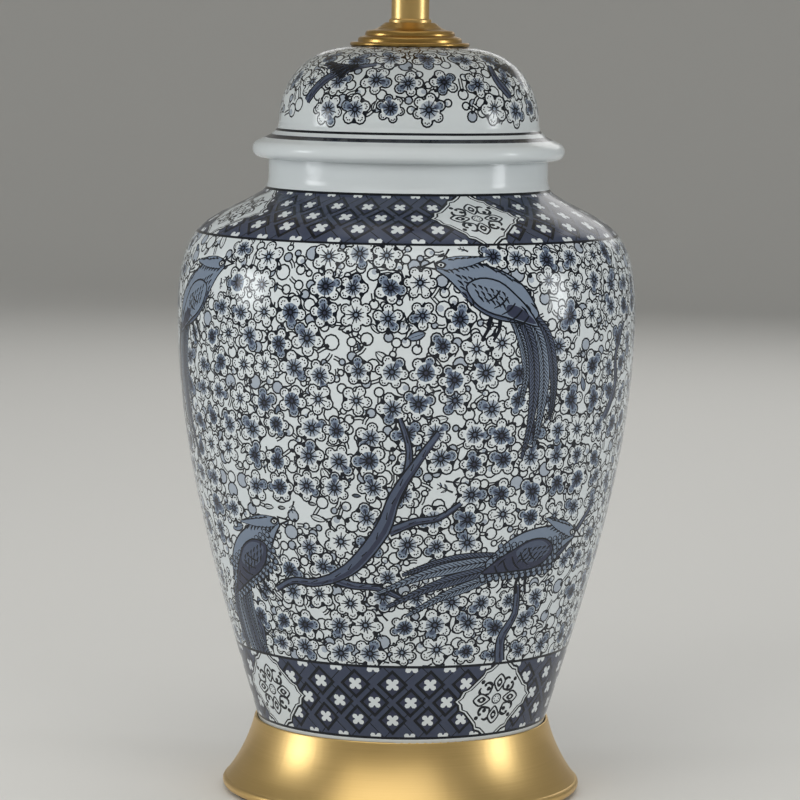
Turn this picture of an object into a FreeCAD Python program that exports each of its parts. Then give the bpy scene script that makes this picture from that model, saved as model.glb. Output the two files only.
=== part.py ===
"""Ginger jar table lamp: porcelain jar and lid on a brass base, held by a hollow threaded rod,
with a lampholder, harp, bulb and drum shade above. Millimetres, +Z up, origin on the table
under the middle of the base. The harp lies in the XZ plane and the cord leaves at +Y."""
import FreeCAD, Part
import math
import os

os.makedirs("parts", exist_ok=True)
Vec = FreeCAD.Vector

# ---------------------------------------------------------------- driving dimensions
# felt and base board
felt_thickness = 1.5
felt_inset = 1.0
board_thickness = 1.5
board_clearance = 0.4

# spun brass skirt
skirt_height = 39.0
skirt_rim_clearance = 0.4
skirt_waist_spread = 4.9
skirt_waist_height = 23.7
skirt_flare_spread = 15.6
skirt_flare_height = 5.6
skirt_bulge_spread = 17.3
skirt_bulge_height = 2.8
skirt_toe_spread = 14.6
skirt_wall = 1.5
ledge_thickness = 1.5

# cord grommet in the back of the skirt
grommet_bore_radius = 4.0
grommet_sleeve_radius = 5.6
grommet_lip_radius = 7.6
grommet_lip_thickness = 1.6
grommet_height = 12.5
grommet_sleeve_length = 15.0
grommet_stand_out = 3.0

# loading weight, seat plate and seat ring
seat_plate_clearance = 0.5
seat_plate_bearing = 5.4
seat_plate_thickness = 2.0
seat_ring_inset = 1.7
seat_ring_width = 12.0
seat_ring_thickness = 1.0
weight_clearance = 2.0
weight_thickness = 16.0

# threaded rod, its nuts and washer
rod_radius = 5.0
rod_bore_radius = 3.25
thread_clearance = 0.05
rod_clearance = 0.25
rod_tail = 3.0
nut_across_flats = 17.0
nut_thickness = 4.5
washer_radius = 12.0
washer_thickness = 1.5
rod_reach_in_holder = 6.5

# porcelain jar
jar_sink_in_skirt = 6.0
jar_foot_radius = 77.7
jar_foot_lean = 16.7
jar_foot_fullness = 79.8
jar_belly_radius = 125.4
jar_belly_height = 229.4
jar_belly_fullness_below = 79.3
jar_belly_fullness_above = 53.6
jar_shoulder_radius = 79.6
jar_shoulder_rise = 66.7
jar_shoulder_slope = 31.7
jar_shoulder_fullness = 33.1
jar_neck_radius = 76.3
jar_neck_cove_rise = 7.9
jar_neck_length = 11.5
jar_neck_edge = 1.2
jar_wall = 5.0
jar_floor = 7.5
jar_foot_recess = 2.0
jar_foot_ring_width = 15.0
jar_hole_radius = 9.0

# nylon bushes that centre the rod in the porcelain
bush_clearance = 0.2
bush_flange_width = 5.0
bush_flange_thickness = 1.5
bush_depth = 6.5

# porcelain lid, heights above the jar's mouth
lid_seal_thickness = 0.8
lid_seal_width = 5.0
lid_lip_radius = 85.3
lid_lip_nose_height = 3.4
lid_lip_top_radius = 82.4
lid_lip_top_height = 8.1
lid_lip_under_radius = 80.3
lid_lip_drop = 1.1
lid_neck_clearance = 1.0
lid_rebate_draft = 0.4
lid_cove_slope = 24.0
lid_cove_fullness_below = 6.4
lid_cove_fullness_above = 5.0
lid_cove_lean = 0.55
lid_wall_radius = 71.05
lid_wall_height = 17.5
lid_wall_fullness = 24.5
lid_height = 59.7
lid_land_radius = 29.0
lid_land_fullness = 26.3
lid_wall = 5.0
lid_spigot_clearance = 1.3
lid_spigot_depth = 9.0
lid_hole_radius = 8.2

# spun brass vase cap, heights above the lid's land
cap_flange_radius = 32.6
cap_flange_thickness = 2.3
cap_lower_tier_radius = 28.4
cap_lower_tier_height = 5.2
cap_lower_tier_round = 1.9
cap_ledge_rise = 0.8
cap_upper_tier_radius = 24.5
cap_upper_tier_height = 8.8
cap_upper_tier_round = 2.3
cap_hollow_fullness_low = 4.2
cap_hollow_fullness_high = 2.9
cap_hollow_slope = 34.0
cap_top_radius = 13.6
cap_height = 13.0
cap_wall = 1.0

# neck tube with a collar ring below and a neck ring above
collar_radius = 11.6
collar_height = 2.1
collar_chamfer = 0.8
tube_radius = 10.3
tube_wall = 1.0
tube_length = 53.0
ring_spigot_height = 3.0
ring_spigot_clearance = 0.1
neck_ring_radius = 12.0
neck_ring_height = 2.5

# harp saddle
saddle_half_width = 36.8
saddle_strip_width = 14.0
saddle_thickness = 1.5
saddle_bend_radius = 14.0
saddle_tab_width = 4.0
saddle_tab_height = 13.5

# harp, its sleeves and its seat
harp_wire_radius = 1.6
harp_leg_gap = 0.1
harp_leg_length = 33.0
harp_flare_angle = 9.0
harp_flare_bend = 60.0
harp_side_length = 95.0
harp_top_half_flat = 6.0
sleeve_outer_radius = 4.3
sleeve_inner_radius = 3.5
sleeve_length = 12.0
sleeve_seat_gap = 0.2
seat_disc_radius = 8.5
seat_disc_above_wire = 2.0
stud_radius = 3.0
stud_height = 13.0

# lampholder
holder_cap_radius = 19.6
holder_cap_height = 18.5
holder_cap_boss_radius = 8.5
holder_cap_boss_height = 8.0
holder_cap_wall = 0.7
holder_shell_clearance = 0.1
holder_shell_wall = 0.5
holder_shell_length = 54.0
holder_shell_overlap = 6.0
holder_lip_width = 2.3
liner_clearance = 0.1
liner_wall = 0.6
liner_short = 1.0
core_clearance = 0.2
core_height = 25.0
screw_shell_radius = 14.2
screw_shell_wall = 0.4
screw_shell_height = 25.0
screw_shell_hole = 7.0
contact_radius = 3.5
contact_height = 1.5
terminal_head_radius = 3.0
terminal_head_height = 2.0
terminal_shank_radius = 1.4
terminal_shank_length = 4.5
terminal_notch_width = 9.0
terminal_notch_height = 9.0
terminal_height = 8.0
terminal_notch_depth = 5.0
terminal_count = 2

# rotary switch in the lampholder, along -Y
switch_height = 13.0
cam_radius = 4.8
cam_length = 6.0
cam_start = 2.5
cam_clearance = 0.3
shaft_radius = 2.0
shaft_clearance = 0.06
shaft_end = 34.0
switch_bushing_radius = 3.6
switch_bushing_stand_out = 4.0
switch_bushing_flange_radius = 5.6
switch_bushing_flange = 1.4
switch_hole_clearance = 0.2
knob_radius = 6.5
knob_length = 12.0
knob_gap = 0.5
knob_flutes = 12
knob_flute_radius = 0.9
knob_edge = 1.0

# bulb
bulb_contact_gap = 0.1
bulb_contact_radius = 4.6
bulb_contact_height = 1.2
bulb_insulator_radius = 8.5
bulb_insulator_height = 1.8
bulb_cap_clearance = 0.6
bulb_cap_height = 24.0
bulb_cap_wall = 0.4
bulb_cap_chamfer = 1.2
bulb_stem_depth = 1.6
bulb_neck_radius = 14.6
bulb_taper_fullness_low = 12.0
bulb_taper_fullness_high = 19.0
bulb_globe_radius = 30.0
bulb_glass_height = 83.0
bulb_glass_wall = 1.0

# shade: cover on two wire rings with folded tape at the edges
shade_top_radius = 160.0
shade_bottom_radius = 203.0
shade_height = 242.0
shade_cover_thickness = 1.2
shade_wire_radius = 1.6
shade_ring_inset = 4.0
shade_trim_width = 10.0
shade_trim_thickness = 0.5

# spider: hub on the harp's seat and arms to the top ring
hub_gap = 0.3
hub_radius = 15.0
hub_thickness = 1.5
hub_bore_clearance = 0.3
arm_count = 3
arm_radius = 1.5
arm_bend_radius = 8.0
arm_first_angle = 90.0
shade_drop = 13.0

# finial
finial_gap = 0.3
finial_foot_radius = 7.5
finial_foot_height = 2.0
finial_neck_radius = 4.8
finial_neck_height = 5.0
finial_ball_radius = 9.0
finial_tip_radius = 2.6
finial_tip_height = 3.2
finial_bore_clearance = 0.1
finial_bore_spare = 1.0

# ---------------------------------------------------------------- radii that follow the jar's foot
skirt_rim_radius = (jar_foot_radius + jar_sink_in_skirt * math.tan(math.radians(jar_foot_lean))
                    + skirt_rim_clearance + skirt_wall)
skirt_waist_radius = skirt_rim_radius + skirt_waist_spread
skirt_flare_radius = skirt_rim_radius + skirt_flare_spread
skirt_bulge_radius = skirt_rim_radius + skirt_bulge_spread
skirt_toe_radius = skirt_rim_radius + skirt_toe_spread
seat_plate_radius = skirt_rim_radius - skirt_wall - seat_plate_clearance
ledge_inner_radius = seat_plate_radius - seat_plate_bearing
weight_radius = ledge_inner_radius - weight_clearance
seat_ring_outer_radius = jar_foot_radius - seat_ring_inset
seat_ring_inner_radius = seat_ring_outer_radius - seat_ring_width

# ---------------------------------------------------------------- heights of the stack
board_bottom = felt_thickness
skirt_bottom = felt_thickness
skirt_top = skirt_bottom + skirt_height
jar_foot = skirt_top - jar_sink_in_skirt
seat_ring_bottom = jar_foot - seat_ring_thickness
plate_bottom = seat_ring_bottom - seat_plate_thickness
ledge_bottom = plate_bottom - ledge_thickness
weight_bottom = plate_bottom - weight_thickness
washer_bottom = weight_bottom - washer_thickness
lower_nut_bottom = washer_bottom - nut_thickness
rod_bottom = lower_nut_bottom - rod_tail
jar_floor_top = jar_foot + jar_foot_recess + jar_floor
jar_belly = jar_foot + jar_belly_height
jar_shoulder = jar_belly + jar_shoulder_rise
jar_neck_root = jar_shoulder + jar_neck_cove_rise
jar_mouth = jar_neck_root + jar_neck_length
lid_seat = jar_mouth + lid_seal_thickness
lid_top = jar_mouth + lid_height
cap_top = lid_top + cap_height
collar_top = cap_top + collar_height
tube_top = collar_top + tube_length
neck_ring_top = tube_top + neck_ring_height
saddle_top = neck_ring_top + saddle_thickness
holder_bottom = saddle_top + nut_thickness
rod_top = holder_bottom + rod_reach_in_holder
shell_bottom = holder_bottom + holder_cap_height - holder_shell_overlap
shell_top = shell_bottom + holder_shell_length
core_bottom = shell_bottom + liner_short
core_top = core_bottom + core_height
switch_axis = core_bottom + switch_height
leg_bottom = neck_ring_top + saddle_bend_radius
bulb_bottom = core_top + contact_height + bulb_contact_gap
bulb_cap_bottom = bulb_bottom + bulb_contact_height + bulb_insulator_height
bulb_cap_top = bulb_cap_bottom + bulb_cap_height

rod_hole_radius = rod_radius + rod_clearance
thread_radius = rod_radius + thread_clearance
jar_neck_inner_radius = jar_neck_radius - jar_wall
bulb_cap_radius = screw_shell_radius - screw_shell_wall - bulb_cap_clearance
leg_x = saddle_half_width + harp_leg_gap + harp_wire_radius
sleeve_x = (saddle_half_width - saddle_thickness + leg_x + harp_wire_radius) / 2


# ---------------------------------------------------------------- shaping helpers
def turned(start, *steps):
    """Solid turned about the lamp's axis. Points are (radius, height). A step of one point is
    a line, of two an arc through the first, of three a cubic curve with two handles."""
    edges = []
    here = start
    for step in steps + ((start,),):
        points = [Vec(r, 0, z) for r, z in (here,) + tuple(step)]
        if points[0].distanceToPoint(points[-1]) < 1e-6:
            continue
        if len(step) == 1:
            edges.append(Part.makeLine(*points))
        elif len(step) == 2:
            edges.append(Part.Arc(*points).toShape())
        else:
            curve = Part.BezierCurve()
            curve.setPoles(points)
            edges.append(curve.toShape())
        here = step[-1]
    return Part.Face(Part.Wire(edges)).revolve(Vec(0, 0, 0), Vec(0, 0, 1), 360)


def ring(outer, inner, bottom, top):
    """Flat ring about the lamp's axis."""
    return turned((inner, bottom), ((outer, bottom),), ((outer, top),), ((inner, top),))


def disc(radius, bottom, top):
    return Part.makeCylinder(radius, top - bottom, Vec(0, 0, bottom))


def along(axis, radius, start, end, height=0.0):
    """Round bar along a level axis, from start to end at the given height."""
    return Part.makeCylinder(radius, end - start, axis * start + Vec(0, 0, height), axis)


def box(x, y, z):
    """Box from three (low, high) pairs."""
    return Part.makeBox(x[1] - x[0], y[1] - y[0], z[1] - z[0], Vec(x[0], y[0], z[0]))


def turned_about_z(shape, degrees):
    copy = shape.copy()
    copy.rotate(Vec(0, 0, 0), Vec(0, 0, 1), degrees)
    return copy


def rod_along(edges, radius):
    """Round rod that follows joined lines and tangent arcs."""
    path = Part.Wire(edges)
    start = path.OrderedVertexes[0].Point
    direction = path.OrderedEdges[0].tangentAt(path.OrderedEdges[0].FirstParameter)
    section = Part.Wire(Part.makeCircle(radius, start, direction))
    return path.makePipeShell([section], True, False)


def moved_along(point, angle, length):
    """The (radius, height) at a length from a point, at an angle from upright, outward positive."""
    return (point[0] + length * math.sin(math.radians(angle)),
            point[1] + length * math.cos(math.radians(angle)))


def rounded_edge(corner, radius):
    """Arc step that rounds an upper outer corner, from its side to its top."""
    cut = radius * (1 - math.sqrt(0.5))
    return (corner[0] - cut, corner[1] - cut), (corner[0] - radius, corner[1])


# ---------------------------------------------------------------- base
def skirt_solid(inset):
    """The skirt's outer form, filled, and drawn in by inset."""
    top = skirt_top - skirt_wall / 2
    waist = skirt_bottom + skirt_waist_height
    flare = skirt_bottom + skirt_flare_height
    bulge = skirt_bottom + skirt_bulge_height
    return turned((0, skirt_bottom),
                  ((skirt_toe_radius - inset, skirt_bottom),),
                  ((skirt_bulge_radius - inset, bulge), (skirt_flare_radius - inset, flare)),
                  ((skirt_waist_radius - inset, waist), (skirt_rim_radius - inset, top)),
                  ((0, top),))


def base_skirt():
    top = skirt_top - skirt_wall / 2
    rim_bead = turned((skirt_rim_radius - skirt_wall, top),
                      ((skirt_rim_radius - skirt_wall / 2, skirt_top), (skirt_rim_radius, top)))
    ledge = ring(skirt_waist_radius, ledge_inner_radius, ledge_bottom, plate_bottom)
    shell = skirt_solid(0).cut(skirt_solid(skirt_wall))
    ledge = ledge.common(skirt_solid(skirt_wall / 2))
    cord_hole = along(Vec(0, 1, 0), grommet_sleeve_radius, ledge_inner_radius,
                      skirt_bulge_radius + grommet_stand_out, skirt_bottom + grommet_height)
    return shell.fuse([rim_bead, ledge]).cut(cord_hole).removeSplitter()


def cord_grommet():
    """Rubber sleeve with a lip on each side of the skirt's wall."""
    height = skirt_bottom + grommet_height
    outer = skirt_bulge_radius - skirt_bulge_height + grommet_stand_out
    back = Vec(0, 1, 0)
    sleeve = along(back, grommet_sleeve_radius, outer - grommet_sleeve_length, outer, height)
    lip_bar = along(back, grommet_lip_radius, ledge_inner_radius, outer, height)
    inner_face = skirt_wall + grommet_lip_thickness
    lips = lip_bar.common(skirt_solid(-grommet_lip_thickness).cut(skirt_solid(inner_face)))
    lips = lips.cut(skirt_solid(0).cut(skirt_solid(skirt_wall)))
    bore = along(back, grommet_bore_radius, 0, outer, height)
    return sleeve.fuse(lips).cut(bore).removeSplitter()


def felt_pad():
    return disc(skirt_toe_radius - felt_inset, 0, felt_thickness)


def base_board():
    radius = skirt_toe_radius - skirt_wall - board_clearance
    return disc(radius, board_bottom, board_bottom + board_thickness)


def loading_weight():
    return ring(weight_radius, rod_hole_radius, weight_bottom, plate_bottom)


def seat_plate():
    return ring(seat_plate_radius, rod_hole_radius, plate_bottom, seat_ring_bottom)


def seat_ring():
    return ring(seat_ring_outer_radius, seat_ring_inner_radius, seat_ring_bottom, jar_foot)


# ---------------------------------------------------------------- rod and fasteners
def threaded_rod():
    return ring(rod_radius, rod_bore_radius, rod_bottom, rod_top)


def hex_nut(bottom):
    corner = nut_across_flats / 2 / math.cos(math.radians(30))
    corners = [Vec(corner * math.cos(math.radians(60 * i)), corner * math.sin(math.radians(60 * i)),
                   bottom) for i in range(7)]
    prism = Part.Face(Part.makePolygon(corners)).extrude(Vec(0, 0, nut_thickness))
    return prism.cut(disc(thread_radius, bottom, bottom + nut_thickness))


def lower_washer():
    return ring(washer_radius, rod_hole_radius, washer_bottom, weight_bottom)


def bush(hole_radius, land, flange_up):
    """Nylon bush in a hole: its flange lies on the land and its body fills the hole below."""
    body = hole_radius - bush_clearance
    flange = hole_radius + bush_flange_width
    return turned((rod_hole_radius, land - bush_depth), ((body, land - bush_depth),),
                  ((body, land),), ((flange, land),), ((flange, land + flange_up),),
                  ((rod_hole_radius, land + flange_up),))


# ---------------------------------------------------------------- porcelain
def jar_side(inset, foot):
    """Steps from the foot up to the end of the shoulder, drawn in by inset along the normal."""
    lean = math.radians(jar_foot_lean)
    slope = math.radians(jar_shoulder_slope)
    rise = (foot - jar_foot) * math.tan(lean)
    low = (jar_foot_radius + rise - inset / math.cos(lean), foot)
    belly = (jar_belly_radius - inset, jar_belly)
    high = (jar_shoulder_radius - inset * math.sin(slope), jar_shoulder - inset * math.cos(slope))
    low_handle = moved_along(low, jar_foot_lean, jar_foot_fullness - (foot - jar_foot))
    high_handle = moved_along(high, 90 + jar_shoulder_slope, jar_shoulder_fullness)
    return low, [(low_handle, (belly[0], belly[1] - jar_belly_fullness_below), belly),
                 ((belly[0], belly[1] + jar_belly_fullness_above), high_handle, high)]


def jar_neck_cove(inset):
    """The hollow curve from the shoulder's end into the upright neck."""
    slope = math.radians(jar_shoulder_slope)
    start = (jar_shoulder_radius - inset * math.sin(slope), jar_shoulder - inset * math.cos(slope))
    end = (jar_neck_radius - inset, jar_neck_root)
    reach = (end[1] - start[1]) / 2
    return (moved_along(start, jar_shoulder_slope - 90, (start[0] - end[0]) / 2),
            (end[0], end[1] - reach), end)


def porcelain_jar():
    foot, side = jar_side(0, jar_foot)
    floor, hollow = jar_side(jar_wall, jar_floor_top)
    edge = jar_neck_edge
    outside = turned((0, jar_foot), (foot,), *side, jar_neck_cove(0),
                     ((jar_neck_radius, jar_mouth - edge),),
                     rounded_edge((jar_neck_radius, jar_mouth), edge), ((0, jar_mouth),))
    inside = turned((0, jar_floor_top), (floor,), *hollow, jar_neck_cove(jar_wall),
                    ((jar_neck_inner_radius, jar_mouth),), ((0, jar_mouth),))
    recess = disc(jar_foot_radius - jar_foot_ring_width, jar_foot, jar_foot + jar_foot_recess)
    hole = disc(jar_hole_radius, jar_foot, jar_floor_top)
    return outside.cut(inside).cut(recess).cut(hole)


def lid_seal():
    outer = jar_neck_radius - jar_neck_edge
    return ring(outer, outer - lid_seal_width + jar_neck_edge, jar_mouth, lid_seat)


def lid_dome(inset):
    """Steps up the lid's side and over to the flat land round its hole."""
    low = (lid_wall_radius - inset, jar_mouth + lid_wall_height)
    land = (lid_land_radius - inset / 2, lid_top - inset)
    return low, ((low[0], low[1] + lid_wall_fullness), (land[0] + lid_land_fullness, land[1]), land)


def porcelain_lid():
    low, dome = lid_dome(0)
    inner_low, inner_dome = lid_dome(lid_wall)
    spigot = jar_neck_inner_radius - lid_spigot_clearance
    rebate = jar_neck_radius + lid_neck_clearance
    lip_low = jar_mouth - lid_lip_drop
    lip_top = (lid_lip_top_radius, jar_mouth + lid_lip_top_height)
    cove = (moved_along(lip_top, lid_cove_slope - 90, lid_cove_fullness_below),
            (low[0] + lid_cove_lean, low[1] - lid_cove_fullness_above), low)
    outside = turned((0, lid_seat), ((rebate, lid_seat),), ((rebate + lid_rebate_draft, lip_low),),
                     ((lid_lip_under_radius, lip_low),),
                     ((lid_lip_radius, jar_mouth + lid_lip_nose_height), lip_top),
                     cove, dome, ((0, lid_top),))
    inside = turned((0, lid_seat), ((spigot - lid_wall, lid_seat),), (inner_low,),
                    inner_dome, ((0, lid_top - lid_wall),))
    spigot_ring = ring(spigot, spigot - lid_wall, lid_seat - lid_spigot_depth, lid_seat)
    hole = disc(lid_hole_radius, lid_seat, lid_top)
    return outside.cut(inside).cut(hole).fuse(spigot_ring).removeSplitter()


# ---------------------------------------------------------------- brass fittings of the neck
def cap_outline(inset):
    """Steps over the cap from its lower tier to its flat top, drawn in by inset."""
    lower = (cap_lower_tier_radius - inset, lid_top + cap_lower_tier_height - inset)
    upper = (cap_upper_tier_radius - inset, lid_top + cap_upper_tier_height - inset)
    top = (cap_top_radius - inset / 2, cap_top - inset)
    lower_round = cap_lower_tier_round - inset
    upper_round = cap_upper_tier_round - inset
    return [((lower[0], lower[1] - lower_round),), rounded_edge(lower, lower_round),
            ((upper[0], lower[1] + cap_ledge_rise),), ((upper[0], upper[1] - upper_round),),
            rounded_edge(upper, upper_round),
            ((upper[0] - upper_round - cap_hollow_fullness_low, upper[1]),
             moved_along(top, 90 + cap_hollow_slope, cap_hollow_fullness_high), top)]


def vase_cap():
    roll = cap_flange_thickness / 2
    step = lid_top + cap_flange_thickness
    outside = turned((0, lid_top), ((cap_flange_radius - roll, lid_top),),
                     ((cap_flange_radius, lid_top + roll), (cap_flange_radius - roll, step)),
                     ((cap_lower_tier_radius, step),), *cap_outline(0), ((0, cap_top),))
    inside = turned((0, lid_top), ((cap_lower_tier_radius - cap_wall, lid_top),),
                    *cap_outline(cap_wall), ((0, cap_top - cap_wall),))
    return outside.cut(inside).cut(disc(rod_hole_radius, lid_top, cap_top))


def collar_ring():
    spigot = tube_radius - tube_wall - ring_spigot_clearance
    return turned((rod_hole_radius, cap_top), ((collar_radius, cap_top),),
                  ((collar_radius, collar_top - collar_chamfer),),
                  ((collar_radius - collar_chamfer, collar_top),), ((spigot, collar_top),),
                  ((spigot, collar_top + ring_spigot_height),),
                  ((rod_hole_radius, collar_top + ring_spigot_height),))


def neck_tube():
    return ring(tube_radius, tube_radius - tube_wall, collar_top, tube_top)


def neck_ring():
    spigot = tube_radius - tube_wall - ring_spigot_clearance
    half = neck_ring_height / 2
    return turned((rod_hole_radius, tube_top - ring_spigot_height),
                  ((spigot, tube_top - ring_spigot_height),), ((spigot, tube_top),),
                  ((neck_ring_radius - half, tube_top),),
                  ((neck_ring_radius, tube_top + half), (neck_ring_radius - half, neck_ring_top)),
                  ((rod_hole_radius, neck_ring_top),))


# ---------------------------------------------------------------- harp
def harp_saddle():
    """Steel strip bent up at both ends, where narrow tabs take the harp's legs."""
    low = neck_ring_top
    bend = saddle_bend_radius
    width = saddle_strip_width / 2
    flat = saddle_half_width - bend
    strip = box((-flat, flat), (-width, width), (low, saddle_top))
    centre = Vec(flat, -width, low + bend)
    rise = Part.makeCylinder(bend, saddle_strip_width, centre, Vec(0, 1, 0))
    rise = rise.cut(Part.makeCylinder(bend - saddle_thickness, saddle_strip_width, centre,
                                      Vec(0, 1, 0)))
    rise = rise.common(box((flat, flat + bend), (-width, width), (low, low + bend)))
    tab_x = (saddle_half_width - saddle_thickness, saddle_half_width)
    tab = box(tab_x, (-saddle_tab_width / 2, saddle_tab_width / 2),
              (low + bend, low + bend + saddle_tab_height))
    end = rise.fuse(tab)
    hole = disc(rod_hole_radius, low, saddle_top)
    return strip.fuse([end, turned_about_z(end, 180)]).cut(hole).removeSplitter()


def harp_side():
    """Edges of one side of the harp's centre line, from the leg's foot to the middle of the top."""
    angle = harp_flare_angle
    turn = math.radians(angle)
    knee = (leg_x, leg_bottom + harp_leg_length)
    bend_mid = (knee[0] + harp_flare_bend * (1 - math.cos(turn / 2)),
                knee[1] + harp_flare_bend * math.sin(turn / 2))
    bend_end = (knee[0] + harp_flare_bend * (1 - math.cos(turn)),
                knee[1] + harp_flare_bend * math.sin(turn))
    shoulder = moved_along(bend_end, angle, harp_side_length)
    radius = (shoulder[0] - harp_top_half_flat) / math.cos(turn)
    centre = (harp_top_half_flat, shoulder[1] + radius * math.sin(turn))
    middle = (math.pi / 2 - turn) / 2
    bow_mid = (centre[0] + radius * math.cos(middle), centre[1] + radius * math.sin(middle))
    top = centre[1] + radius
    points = [Vec(x, 0, z) for x, z in ((leg_x, leg_bottom), knee, bend_mid, bend_end, shoulder,
                                        bow_mid, (harp_top_half_flat, top), (0, top))]
    return [Part.makeLine(points[0], points[1]), Part.Arc(*points[1:4]).toShape(),
            Part.makeLine(points[3], points[4]), Part.Arc(*points[4:7]).toShape(),
            Part.makeLine(points[6], points[7])], top


harp_edges, harp_top = harp_side()
seat_top = harp_top + harp_wire_radius + seat_disc_above_wire
hub_bottom = seat_top + hub_gap
hub_top = hub_bottom + hub_thickness
shade_ring_top = hub_bottom + hub_thickness / 2 + shade_drop
shade_top = shade_ring_top + shade_ring_inset
shade_bottom = shade_top - shade_height
finial_bottom = hub_top + finial_gap


def harp():
    side = rod_along(harp_edges, harp_wire_radius)
    return side.fuse(turned_about_z(side, 180)).removeSplitter()


def harp_sleeve(side):
    low = leg_bottom + sleeve_seat_gap
    at = Vec(side * sleeve_x, 0, low)
    tube = Part.makeCylinder(sleeve_outer_radius, sleeve_length, at)
    return tube.cut(Part.makeCylinder(sleeve_inner_radius, sleeve_length, at))


def harp_seat(bow):
    """Disc pressed round the top of the harp, with the threaded stud that takes the finial."""
    seat = disc(seat_disc_radius, harp_top, seat_top)
    stud = disc(stud_radius, seat_top, seat_top + stud_height)
    return seat.fuse(stud).cut(bow).removeSplitter()


# ---------------------------------------------------------------- lampholder
def holder_cap():
    """Round-shouldered cup screwed on the rod, with a threaded boss inside."""
    low = holder_bottom
    high = low + holder_cap_height
    wall = holder_cap_wall
    inner = holder_cap_radius - wall
    shoulder = holder_cap_radius - holder_cap_boss_radius
    centre = (holder_cap_boss_radius, low + shoulder)
    return turned((thread_radius, low), ((holder_cap_boss_radius, low),),
                  (moved_along(centre, 135, shoulder), (holder_cap_radius, low + shoulder)),
                  ((holder_cap_radius, high),), ((inner, high),), ((inner, low + shoulder),),
                  (moved_along(centre, 135, shoulder - wall), (holder_cap_boss_radius, low + wall)),
                  ((holder_cap_boss_radius - wall, low + holder_cap_boss_height),),
                  ((thread_radius, low + holder_cap_boss_height),))


shell_radius = holder_cap_radius - holder_cap_wall - holder_shell_clearance
liner_radius = shell_radius - holder_shell_wall - liner_clearance
core_radius = liner_radius - liner_wall - core_clearance
front = Vec(0, -1, 0)


def switch_hole(radius):
    return along(front, radius, 0, shell_radius + switch_bushing_stand_out, switch_axis)


def holder_shell():
    inner = shell_radius - holder_shell_wall
    lip = shell_top - holder_shell_wall
    shell = turned((inner, shell_bottom), ((shell_radius, shell_bottom),),
                   ((shell_radius, shell_top),), ((shell_radius - holder_lip_width, shell_top),),
                   ((shell_radius - holder_lip_width, lip),), ((inner, lip),))
    return shell.cut(switch_hole(switch_bushing_radius + switch_hole_clearance))


def holder_liner():
    sleeve = ring(liner_radius, liner_radius - liner_wall, core_bottom,
                  shell_top - holder_shell_wall - liner_short)
    return sleeve.cut(switch_hole(switch_bushing_radius + switch_hole_clearance))


def holder_core():
    """Moulded block that holds the contacts, with room for the switch and its terminals."""
    block = disc(core_radius, core_bottom, core_top)
    cam_end = cam_start + cam_length + cam_clearance
    cavity = along(front, cam_radius + cam_clearance, cam_start - cam_clearance, cam_end,
                   switch_axis)
    block = block.cut([cavity, switch_hole(shaft_radius + shaft_clearance)])
    half = terminal_notch_width / 2
    low = core_bottom + terminal_height - terminal_notch_height / 2
    notch = box((core_radius - terminal_notch_depth, core_radius), (-half, half),
                (low, low + terminal_notch_height))
    for i in range(terminal_count):
        turn = 360 * i / terminal_count
        block = block.cut([turned_about_z(notch, turn), turned_about_z(terminal_screw(), turn)])
    return block


def terminal_screw():
    """Binding screw seated in the floor of its notch."""
    floor = core_radius - terminal_notch_depth
    height = core_bottom + terminal_height
    side = Vec(1, 0, 0)
    shank = along(side, terminal_shank_radius, floor - terminal_shank_length, floor, height)
    return shank.fuse(along(side, terminal_head_radius, floor, floor + terminal_head_height, height))


def terminal_screws():
    return Part.makeCompound([turned_about_z(terminal_screw(), 360 * i / terminal_count)
                              for i in range(terminal_count)])


def screw_shell():
    inner = screw_shell_radius - screw_shell_wall
    return turned((screw_shell_hole, core_top), ((screw_shell_radius, core_top),),
                  ((screw_shell_radius, core_top + screw_shell_height),),
                  ((inner, core_top + screw_shell_height),),
                  ((inner, core_top + screw_shell_wall),),
                  ((screw_shell_hole, core_top + screw_shell_wall),))


def centre_contact():
    half = contact_height / 2
    return turned((0, core_top), ((contact_radius, core_top),),
                  ((contact_radius, core_top + half),),
                  ((contact_radius / 2, core_top + contact_height),),
                  ((0, core_top + contact_height),))


# ---------------------------------------------------------------- rotary switch
def switch_bushing():
    """Threaded brass sleeve that holds the switch in the shell, with its outside nut."""
    outer = shell_radius + switch_bushing_stand_out
    sleeve = along(front, switch_bushing_radius, core_radius, outer, switch_axis)
    nut = along(front, switch_bushing_flange_radius, shell_radius,
                shell_radius + switch_bushing_flange, switch_axis)
    bore = along(front, shaft_radius + shaft_clearance, 0, outer, switch_axis)
    return sleeve.fuse(nut).cut([bore, disc(core_radius, core_bottom, core_top)])


def switch_cam():
    return along(front, cam_radius, cam_start, cam_start + cam_length, switch_axis)


def switch_shaft():
    return along(front, shaft_radius, cam_start + cam_length, shaft_end, switch_axis)


def switch_knob():
    """Fluted round knob, pushed on the shaft's end."""
    start = shell_radius + switch_bushing_stand_out + knob_gap
    end = start + knob_length
    knob = along(front, knob_radius, start, end, switch_axis)
    knob = knob.makeFillet(knob_edge, [e for e in knob.Edges if len(e.Vertexes) == 1])
    for i in range(knob_flutes):
        turn = math.radians(360 * i / knob_flutes)
        flute = along(front, knob_flute_radius, start, end, switch_axis)
        flute.translate(Vec(knob_radius * math.cos(turn), 0, knob_radius * math.sin(turn)))
        knob = knob.cut(flute)
    return knob.cut(switch_shaft())


# ---------------------------------------------------------------- bulb
def bulb_contact():
    return disc(bulb_contact_radius, bulb_bottom, bulb_bottom + bulb_contact_height)


def bulb_insulator():
    low = bulb_bottom + bulb_contact_height
    return turned((0, low), ((bulb_contact_radius, low),),
                  ((bulb_insulator_radius, bulb_cap_bottom),), ((0, bulb_cap_bottom),))


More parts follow.
